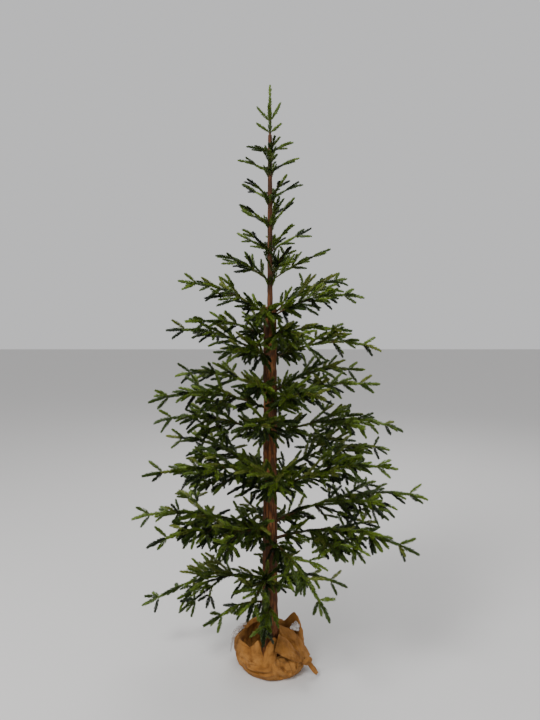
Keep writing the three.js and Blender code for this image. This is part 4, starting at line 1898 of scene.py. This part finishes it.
@dataclass(frozen=True)
class ClothSheet:
    """A thin sheet through rows of places in millimetres, with a rolled edge where rows turn back."""

    name: str
    rows: tuple[tuple[Place, ...], ...]
    fine_rows: int = 36
    fine_columns: int = 48
    thickness: float = 0.0018
    hem: float = 0.9
    hem_width: float = 0.035
    wrinkle: float = 0.0034
    wrinkle_cells: tuple[int, int] = (9, 4)
    wrinkle_slant: Pair = (0.93, 0.12)
    seed: int = 51

    def build(self, material: Material) -> Piece:
        """Makes the sheet as a closed skin.

        Args:
            material: its cloth or film.

        Returns:
            The piece.
        """
        long = smooth_rows(np.array(self.rows, float) / MM_IN_M, self.fine_rows)
        grid = smooth_rows(long.transpose(1, 0, 2), self.fine_columns).transpose(1, 0, 2)
        down, across = np.gradient(grid, axis=0), np.gradient(grid, axis=1)
        normal = unit(np.cross(across, down) + TINY)
        v = np.linspace(0, 1, self.fine_rows)[:, None]
        u = np.linspace(0, 1, self.fine_columns)[None, :]
        slant_u, slant_v = self.wrinkle_slant
        relief = Crumple(self.seed, *self.wrinkle_cells).at(slant_u * u + slant_v * v, v)
        grid = grid + normal * (relief * self.wrinkle)[..., None]
        edge = np.minimum(np.minimum(u, 1 - u), np.minimum(v, 1 - v))
        hem = 1 + self.hem * np.exp(-((edge / self.hem_width) ** 2))
        half = normal * (self.thickness / 2 * hem)[..., None]
        ring = np.concatenate([grid + half, (grid - half)[:, ::-1]], axis=1)
        ring[..., 2] = np.maximum(ring[..., 2], 0.0)
        count = ring.shape[1]
        faces = [grid_faces(self.fine_rows, count)]
        for first, flip in ((0, False), ((self.fine_rows - 1) * count, True)):
            i = np.arange(self.fine_columns - 1)
            a, b, c, d = first + i, first + i + 1, first + count - 2 - i, first + count - 1 - i
            pair = np.concatenate([np.stack([a, d, c], -1), np.stack([a, c, b], -1)])
            faces.append(pair[:, ::-1] if flip else pair)
        return cloth_piece(self.name, material, ring.reshape(-1, 3), np.concatenate(faces), ring)


# The two petals of the front rim with the notch between them. The right one's edge is rolled.
PETALS = ClothSheet(
    "burlap_petals",
    (
        ((-88, -48, 34), (-72, -76, 30), (-52, -94, 29), (-34, -101, 29), (-18, -104, 28), (-8, -103, 28),
         (2, -101, 28), (12, -96, 30), (16, -88, 32)),
        ((-84, -52, 48), (-66, -77, 48), (-47, -90, 50), (-30, -97, 46), (-18, -100, 43), (-9, -99, 46),
         (1, -95, 50), (12, -88, 54), (18, -78, 54)),
        ((-77, -54, 64), (-57, -69, 68), (-41, -78, 74), (-29, -86, 64), (-20, -94, 54), (-14, -92, 64),
         (-5, -82, 76), (9, -72, 84), (20, -62, 78)),
        ((-72, -50, 72), (-51, -57, 87), (-37, -56, 100), (-29, -68, 82), (-21, -84, 61), (-16, -80, 77),
         (-9, -68, 93), (10, -50, 106), (21, -45, 97)),
    ),
    wrinkle=0.003,
)

# The large flap on the front right: its hem turns under in front, and it folds back at its ridge.
FLAP = ClothSheet(
    "burlap_flap",
    (
        ((22, -72, 74), (42, -78, 66), (63, -78, 56), (84, -72, 46), (102, -64, 40)),
        ((16, -83, 81), (38, -91, 74), (60, -90, 64), (82, -83, 54), (103, -72, 45)),
        ((17, -76, 91), (41, -82, 82), (63, -82, 71), (85, -76, 58), (104, -68, 48)),
        ((23, -52, 102), (46, -63, 92), (68, -66, 77), (88, -65, 62), (105, -62, 48)),
        ((27, -29, 107), (52, -42, 95), (73, -52, 77), (91, -57, 61), (106, -58, 47)),
        ((31, -16, 94), (58, -28, 78), (80, -42, 60), (98, -50, 46), (108, -54, 40)),
    ),
    seed=61,
)

# The rear rim on the right, folded outwards over the side, with a bright upper edge.
SHOULDER = ClothSheet(
    "burlap_shoulder",
    (
        ((30, -24, 88), (55, -34, 76), (77, -44, 60), (97, -51, 44), (112, -55, 32)),
        ((29, -8, 103), (55, -13, 93), (79, -20, 77), (102, -30, 54), (120, -38, 34)),
        ((29, 13, 110), (55, 15, 101), (82, 13, 86), (108, -2, 58), (125, -16, 34)),
        ((31, 25, 100), (58, 31, 88), (87, 29, 70), (110, 10, 42), (120, -6, 22)),
    ),
    seed=71,
)

# The loose corner below the knot, that hangs down to the floor.
TAIL = ClothSheet(
    "burlap_tail",
    (
        ((104, -70, 40), (108, -66, 47), (111, -58, 49), (112, -50, 44)),
        ((115, -69, 32), (119, -65, 40), (122, -58, 40), (121, -52, 34)),
        ((124, -74, 22), (129, -70, 30), (133, -64, 29), (131, -58, 20)),
        ((133, -78, 13), (138, -74, 20), (142, -69, 19), (140, -65, 11)),
        ((141, -78, 8), (144, -76, 12), (146, -73, 12), (145, -71, 8)),
    ),
    fine_columns=24,
    wrinkle=0.0016,
    seed=81,
)

# A loose fold of the rim at the back, that hangs over the side with a wavy hem.
BACK_FOLD = ClothSheet(
    "burlap_back_fold",
    (
        ((34, 77, 86), (3, 83, 88), (-29, 79, 92), (-56, 61, 91), (-76, 37, 86)),
        ((39, 87, 92), (3, 95, 95), (-33, 91, 100), (-64, 71, 98), (-86, 42, 93)),
        ((45, 100, 80), (4, 110, 86), (-38, 104, 83), (-74, 82, 87), (-98, 48, 79)),
        ((49, 108, 60), (4, 118, 69), (-40, 111, 60), (-80, 88, 67), (-104, 51, 58)),
        ((50, 109, 47), (4, 119, 56), (-41, 112, 42), (-80, 89, 53), (-104, 51, 43)),
    ),
    wrinkle_cells=(14, 4),
    seed=86,
)

# Scraps of thin white film: a patch inside the rear corner and a strip along the left rim.
CORNER_FILM = ClothSheet(
    "film_corner",
    (
        ((77, 36, 106), (83, 38, 113), (88, 36, 109), (92, 35, 100)),
        ((68, 32, 101), (81, 35, 104), (89, 31, 101), (94, 31, 96)),
        ((64, 27, 95), (76, 29, 97), (88, 27, 93), (94, 27, 90)),
        ((72, 25, 90), (79, 24, 89), (87, 25, 87), (92, 25, 86)),
    ),
    thickness=0.0005,
    wrinkle=0.006,
    seed=91,
)
RIM_FILM = ClothSheet(
    "film_rim",
    (
        ((-121, -20, 46), (-115, -3, 71), (-104, 16, 80), (-90, 33, 87), (-74, 49, 90)),
        ((-123, -20, 47), (-119, -3, 83), (-109, 17, 93), (-93, 36, 99), (-76, 53, 98)),
        ((-125, -21, 45), (-118, -4, 88), (-108, 18, 101), (-92, 38, 104), (-77, 55, 101)),
    ),
    thickness=0.0005,
    wrinkle=0.005,
    wrinkle_cells=(16, 4),
    seed=95,
)


@dataclass(frozen=True)
class Knot:
    """The cloth turn of the knot, as a lumpy roll along places in millimetres."""

    course: tuple[Place, ...] = (
        (104, -74, 42), (107, -82, 48), (112, -84, 56), (119, -80, 57),
        (122, -73, 51), (118, -68, 43), (111, -71, 40), (109, -78, 46), (113, -80, 52),
    )
    radii: tuple[float, ...] = (0.0052, 0.0064, 0.0068, 0.0068, 0.0066, 0.0066, 0.0064, 0.0060, 0.0050)
    rings: int = 40
    sides: int = 20
    lump: float = 0.09
    lump_step: float = 1.7

    def build(self, burlap: Material) -> Piece:
        """Makes the knot.

        Args:
            burlap: its cloth.

        Returns:
            The piece.
        """
        course = smooth_rows(np.array(self.course)[:, None, :] / MM_IN_M, self.rings)[:, 0]
        places, knots = np.linspace(0, 1, self.rings), np.linspace(0, 1, len(self.radii))
        lumps = 1 + self.lump * np.sin(np.arange(self.rings) * self.lump_step)
        points, faces = tube(course, np.interp(places, knots, self.radii) * lumps, self.sides)
        grid = points[:-1].reshape(self.rings, self.sides, 3)
        return cloth_piece("burlap_knot", burlap, points, faces, grid)


@dataclass(frozen=True)
class Sack:
    """The burlap sack's bulging body, with a bowl-like rim and its throat round the trunk."""

    rings: tuple[Ring, ...] = (
        Ring(0.070, 0.0, 0, 0, 1.0, 0.0),
        Ring(0.093, 0.0, 0, 0, 1.0, 0.1),
        Ring(0.102, 0.010, 0, 0, 0.8, 0.3),
        Ring(0.108, 0.024, 0, 0, 0.5, 0.6),
        Ring(0.109, 0.042, 0.1, 0.1, 0.1, 0.9),
        Ring(0.105, 0.062, 0.5, 0.4, 0.0, 1.0),
        Ring(0.097, 0.080, 0.9, 0.8, 0.0, 1.0),
        Ring(0.088, 0.091, 1, 1, 0.0, 0.8),
        Ring(0.084, 0.091, 1, 1, 0.0, 0.8),
        Ring(0.079, 0.076, 0.8, 0.8, 0.0, 1.0),
        Ring(0.072, 0.050, 0.4, 0.5, 0.0, 1.0),
        Ring(0.054, 0.030, 0, 0.1, 0.0, 0.6),
        Ring(0.027, 0.026, 0, 0, 0.0, 0.0),
    )
    folds: tuple[Fold, ...] = (
        Fold(20, 12, 0.002, 0.013),
        Fold(38, 14, 0.034, 0.014),
        Fold(118, 26, 0.008, 0.006),
        Fold(182, 26, -0.006, 0.014),
        Fold(250, 26, -0.034, -0.006),
        Fold(296, 30, -0.036, -0.010),
        Fold(345, 24, -0.034, 0.004),
    )
    creases: tuple[Crease, ...] = (
        Crease((214, 0.052), (236, 0.040)),
        Crease((233, 0.040), (262, 0.047), 0.0050),
        Crease((226, 0.024), (268, 0.031)),
        Crease((268, 0.050), (283, 0.012)),
        Crease((271, 0.060), (297, 0.022), 0.0050),
        Crease((282, 0.064), (288, 0.034)),
        Crease((300, 0.058), (305, 0.020)),
        Crease((316, 0.062), (312, 0.032), 0.0055),
        Crease((328, 0.052), (338, 0.018), 0.0060),
        Crease((12, 0.056), (20, 0.018)),
        Crease((48, 0.060), (40, 0.022)),
        Crease((86, 0.058), (98, 0.020)),
        Crease((126, 0.050), (150, 0.034)),
        Crease((168, 0.060), (172, 0.020)),
        Crease((186, 0.046), (208, 0.030)),
    )
    columns: int = 240
    rows: int = 110
    foot_x: float = 0.010
    pleats: LatticeNoise = LatticeNoise(31, 34, 2)
    pleats_at: float = 0.3
    wide_pleats: LatticeNoise = LatticeNoise(32, 15, 2)
    wide_share: float = 0.6
    pleat_depth: float = 0.0048
    crumple: Crumple = Crumple(41, 20, 9)
    crumple_slant: float = 0.10
    crumple_depth: float = 0.0050
    flat_foot: float = 0.012
    nudge: float = 1e-9

    def build(self, burlap: Material) -> Piece:
        """Makes the body.

        Args:
            burlap: its cloth.

        Returns:
            The piece.
        """
        azimuth = np.arange(self.columns) * 360 / self.columns
        up = sum(fold.up * fold.weight(azimuth) for fold in self.folds)
        out = sum(fold.out * fold.weight(azimuth) for fold in self.folds)
        turn = azimuth / 360
        wide = self.wide_share * self.wide_pleats.at(turn, 0 * turn)
        pleats = (self.pleats.at(turn, 0 * turn + self.pleats_at) + wide) / (1 + self.wide_share)
        pleats = (pleats - 0.5) * 2 * self.pleat_depth
        rows = []
        for ring in self.rings:
            radius = ring.radius + ring.out * out + ring.pleat * pleats
            x = radius * np.cos(TAU * turn) + ring.shift * self.foot_x
            rows.append(np.stack([x, radius * np.sin(TAU * turn), ring.z + ring.up * up], -1))
        grid = self._creased(smooth_rows(np.array(rows), self.rows))
        grid[..., 2] = np.maximum(grid[..., 2], 0.0)
        points = np.concatenate([grid.reshape(-1, 3), grid[0].mean(0)[None]])
        foot = fan(0, self.columns, len(points) - 1, flip=True)
        faces = np.concatenate([grid_faces(self.rows, self.columns), foot])
        return cloth_piece("burlap_body", burlap, points, faces, grid)

    def _creased(self, grid: Array) -> Array:
        """Gives the body its wrinkles and creases.

        Args:
            grid: its rows of places.

        Returns:
            The places, moved along their normals.
        """
        share = np.linspace(0, 1, grid.shape[0])[:, None]
        turn = (np.arange(self.columns) / self.columns)[None, :]
        relief = self.crumple_depth * self.crumple.at(turn + self.crumple_slant * share, share)
        azimuth = np.degrees(np.arctan2(grid[..., 1], grid[..., 0] - self.foot_x)) % 360
        for crease in self.creases:
            relief = relief - crease.depth_at(azimuth, grid[..., 2])
        tall = np.clip(grid[..., 2] / self.flat_foot, 0.0, 1.0)
        outward = grid / np.linalg.norm(grid + self.nudge, axis=-1, keepdims=True)
        return grid + outward * (relief * tall)[..., None]


@dataclass(frozen=True)
class BurlapBase:
    """The wrapped foot: the sack's body, the sheets folded over it, the knot, and film scraps."""

    sack: Sack = Sack()
    sheets: tuple[ClothSheet, ...] = (PETALS, FLAP, SHOULDER, TAIL, BACK_FOLD)
    knot: Knot = Knot()
    films: tuple[ClothSheet, ...] = (CORNER_FILM, RIM_FILM)

    def build(self) -> Iterable[Piece]:
        """Builds the base.

        Returns:
            Its pieces, one by one.
        """
        burlap = BurlapFinish().material()
        for part in (self.sack, *self.sheets, self.knot):
            yield part.build(burlap)
        film = LiningFinish().material()
        for sheet in self.films:
            yield sheet.build(film)


def smooth_rows(rows: Array, count: int) -> Array:
    """Rows of points as a smooth surface through them.

    Args:
        rows: r by n by 3 places.
        count: the number of rows to make.

    Returns:
        count by n by 3 places on Catmull-Rom curves through the rows.
    """
    r = len(rows)
    spans = np.linalg.norm(np.diff(rows, axis=0), axis=-1).mean(axis=1)
    along = np.concatenate([[0.0], np.cumsum(spans)])
    target = np.linspace(0, along[-1], count)
    i = np.clip(np.searchsorted(along, target, side="right") - 1, 0, r - 2)
    t = ((target - along[i]) / spans[i])[:, None, None]
    before, after = rows[np.maximum(i - 1, 0)], rows[np.minimum(i + 2, r - 1)]
    a, b = rows[i], rows[i + 1]
    slope_a, slope_b = (b - before) / 2, (after - a) / 2
    return (
        (2 * t**3 - 3 * t**2 + 1) * a
        + (t**3 - 2 * t**2 + t) * slope_a
        + (3 * t**2 - 2 * t**3) * b
        + (t**3 - t**2) * slope_b
    )


def cloth_piece(
    name: str, material: Material, points: Array, faces: Array, grid: Array
) -> Piece:
    """Makes a piece of cloth, with its cloth coordinates in metres, along its rows and up them.

    Args:
        name: the object's name.
        material: its cloth or film.
        points: its places, those of the grid first.
        faces: its triangles' corner numbers.
        grid: rows by columns by 3 places.

    Returns:
        The piece.
    """
    piece = Soup().add(points, faces).piece(name, material)
    rows, columns = grid.shape[:2]
    steps = np.linalg.norm(np.diff(grid, axis=1), axis=-1).mean(axis=0)
    u = np.broadcast_to(np.concatenate([[0.0], np.cumsum(steps)])[None, :], (rows, columns))
    spans = np.linalg.norm(np.diff(grid, axis=0), axis=-1)
    v = np.concatenate([np.zeros((1, columns)), np.cumsum(spans, axis=0)])
    flat = np.zeros((len(points), 2), np.float32)
    flat[: rows * columns] = np.stack([u, v], -1).reshape(-1, 2)
    layer = piece.data.uv_layers.new(name=CLOTH_UV)
    layer.data.foreach_set("uv", flat[faces.ravel()].ravel())
    return finished(piece, Slot.BURLAP, ["burlap_base"])


def finished(piece: Piece, slot: Slot, nodes: list[str]) -> Piece:
    """Makes a piece ride on the frame, and hides the nodes that it stands for.

    Args:
        piece: the object.
        slot: not used.
        nodes: the names of the nodes.

    Returns:
        The piece.
    """
    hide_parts(*nodes)
    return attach(piece, BODY)


# Stage


class Lamp(NamedTuple):
    """A square soft light that faces the tree."""

    name: str
    place: Place
    size: float
    power: float


@dataclass(frozen=True)
class Studio:
    """The pale floor, the soft lights and the camera."""

    camera_height: float = 1.12
    camera_distance: float = 1.926
    lens: float = 30.4
    shift_y: float = -0.0708
    floor_size: float = 30.0
    floor_color: Color = (0.62, 0.61, 0.6)
    floor_roughness: float = 0.6
    floor_specular: float = 0.2
    lamps: tuple[Lamp, ...] = (
        Lamp("Key", (-1.7, -2.0, 3.3), 1.1, 135.0),
        Lamp("Fill", (2.0, -2.8, 0.9), 2.2, 30.0),
        Lamp("Rim", (0.9, 2.4, 3.0), 1.8, 45.0),
    )
    aim_height: float = 0.8
    world_color: Color = (0.84, 0.84, 0.85)
    world_strength: float = 0.8

    def build(self) -> None:
        """Makes the stage."""
        self._camera()
        self._floor()
        for lamp in self.lamps:
            self._light(lamp)
        world = bpy.data.worlds.new("Studio")
        world.use_nodes = True
        background = world.node_tree.nodes["Background"]
        background.inputs["Color"].default_value = (*self.world_color, 1)
        background.inputs["Strength"].default_value = self.world_strength
        bpy.context.scene.world = world

    def _camera(self) -> None:
        """A level camera at the photograph's place, shifted down to its framing."""
        data = bpy.data.cameras.new("Camera")
        data.lens, data.shift_y = self.lens, self.shift_y
        camera = linked("Camera", data)
        camera.location = (0.0, -self.camera_distance, self.camera_height)
        camera.rotation_euler = (math.pi / 2, 0.0, 0.0)
        bpy.context.scene.camera = camera

    def _floor(self) -> None:
        """A wide plain floor."""
        half = self.floor_size / 2
        corners = [(-half, -half, 0), (half, -half, 0), (half, half, 0), (-half, half, 0)]
        mesh = bpy.data.meshes.new("Floor")
        mesh.from_pydata(corners, [], [(0, 1, 2, 3)])
        material, _, shader = principled("FloorPaint", self.floor_roughness, self.floor_specular)
        shader.inputs["Base Color"].default_value = (*self.floor_color, 1)
        mesh.materials.append(material)
        floor = linked("Floor", mesh)
        floor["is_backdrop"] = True

    def _light(self, lamp: Lamp) -> None:
        """Hangs one light.

        Args:
            lamp: the light.
        """
        data = bpy.data.lights.new(lamp.name, "AREA")
        data.size, data.energy = lamp.size, lamp.power
        light = linked(lamp.name, data)
        light.location = lamp.place
        aim = Vector((0.0, 0.0, self.aim_height)) - light.location
        light.rotation_euler = aim.to_track_quat("-Z", "Y").to_euler()


def main() -> None:
    """Builds the stage and every piece."""
    logging.basicConfig(level=logging.INFO, format="%(message)s")
    Studio().build()
    trunk = Trunk()
    total = 0
    for maker in (trunk.build(), Crown().build(trunk), BurlapBase().build()):
        for piece in maker:
            count = len(piece.data.polygons)
            total += count
            log.info("%s: %d triangles", piece.name, count)
    log.info("all pieces: %d triangles", total)
    boxes = [[list(corner) for corner in box] for box in (CAD_BOX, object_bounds())]


if __name__ == "__main__":
    main()
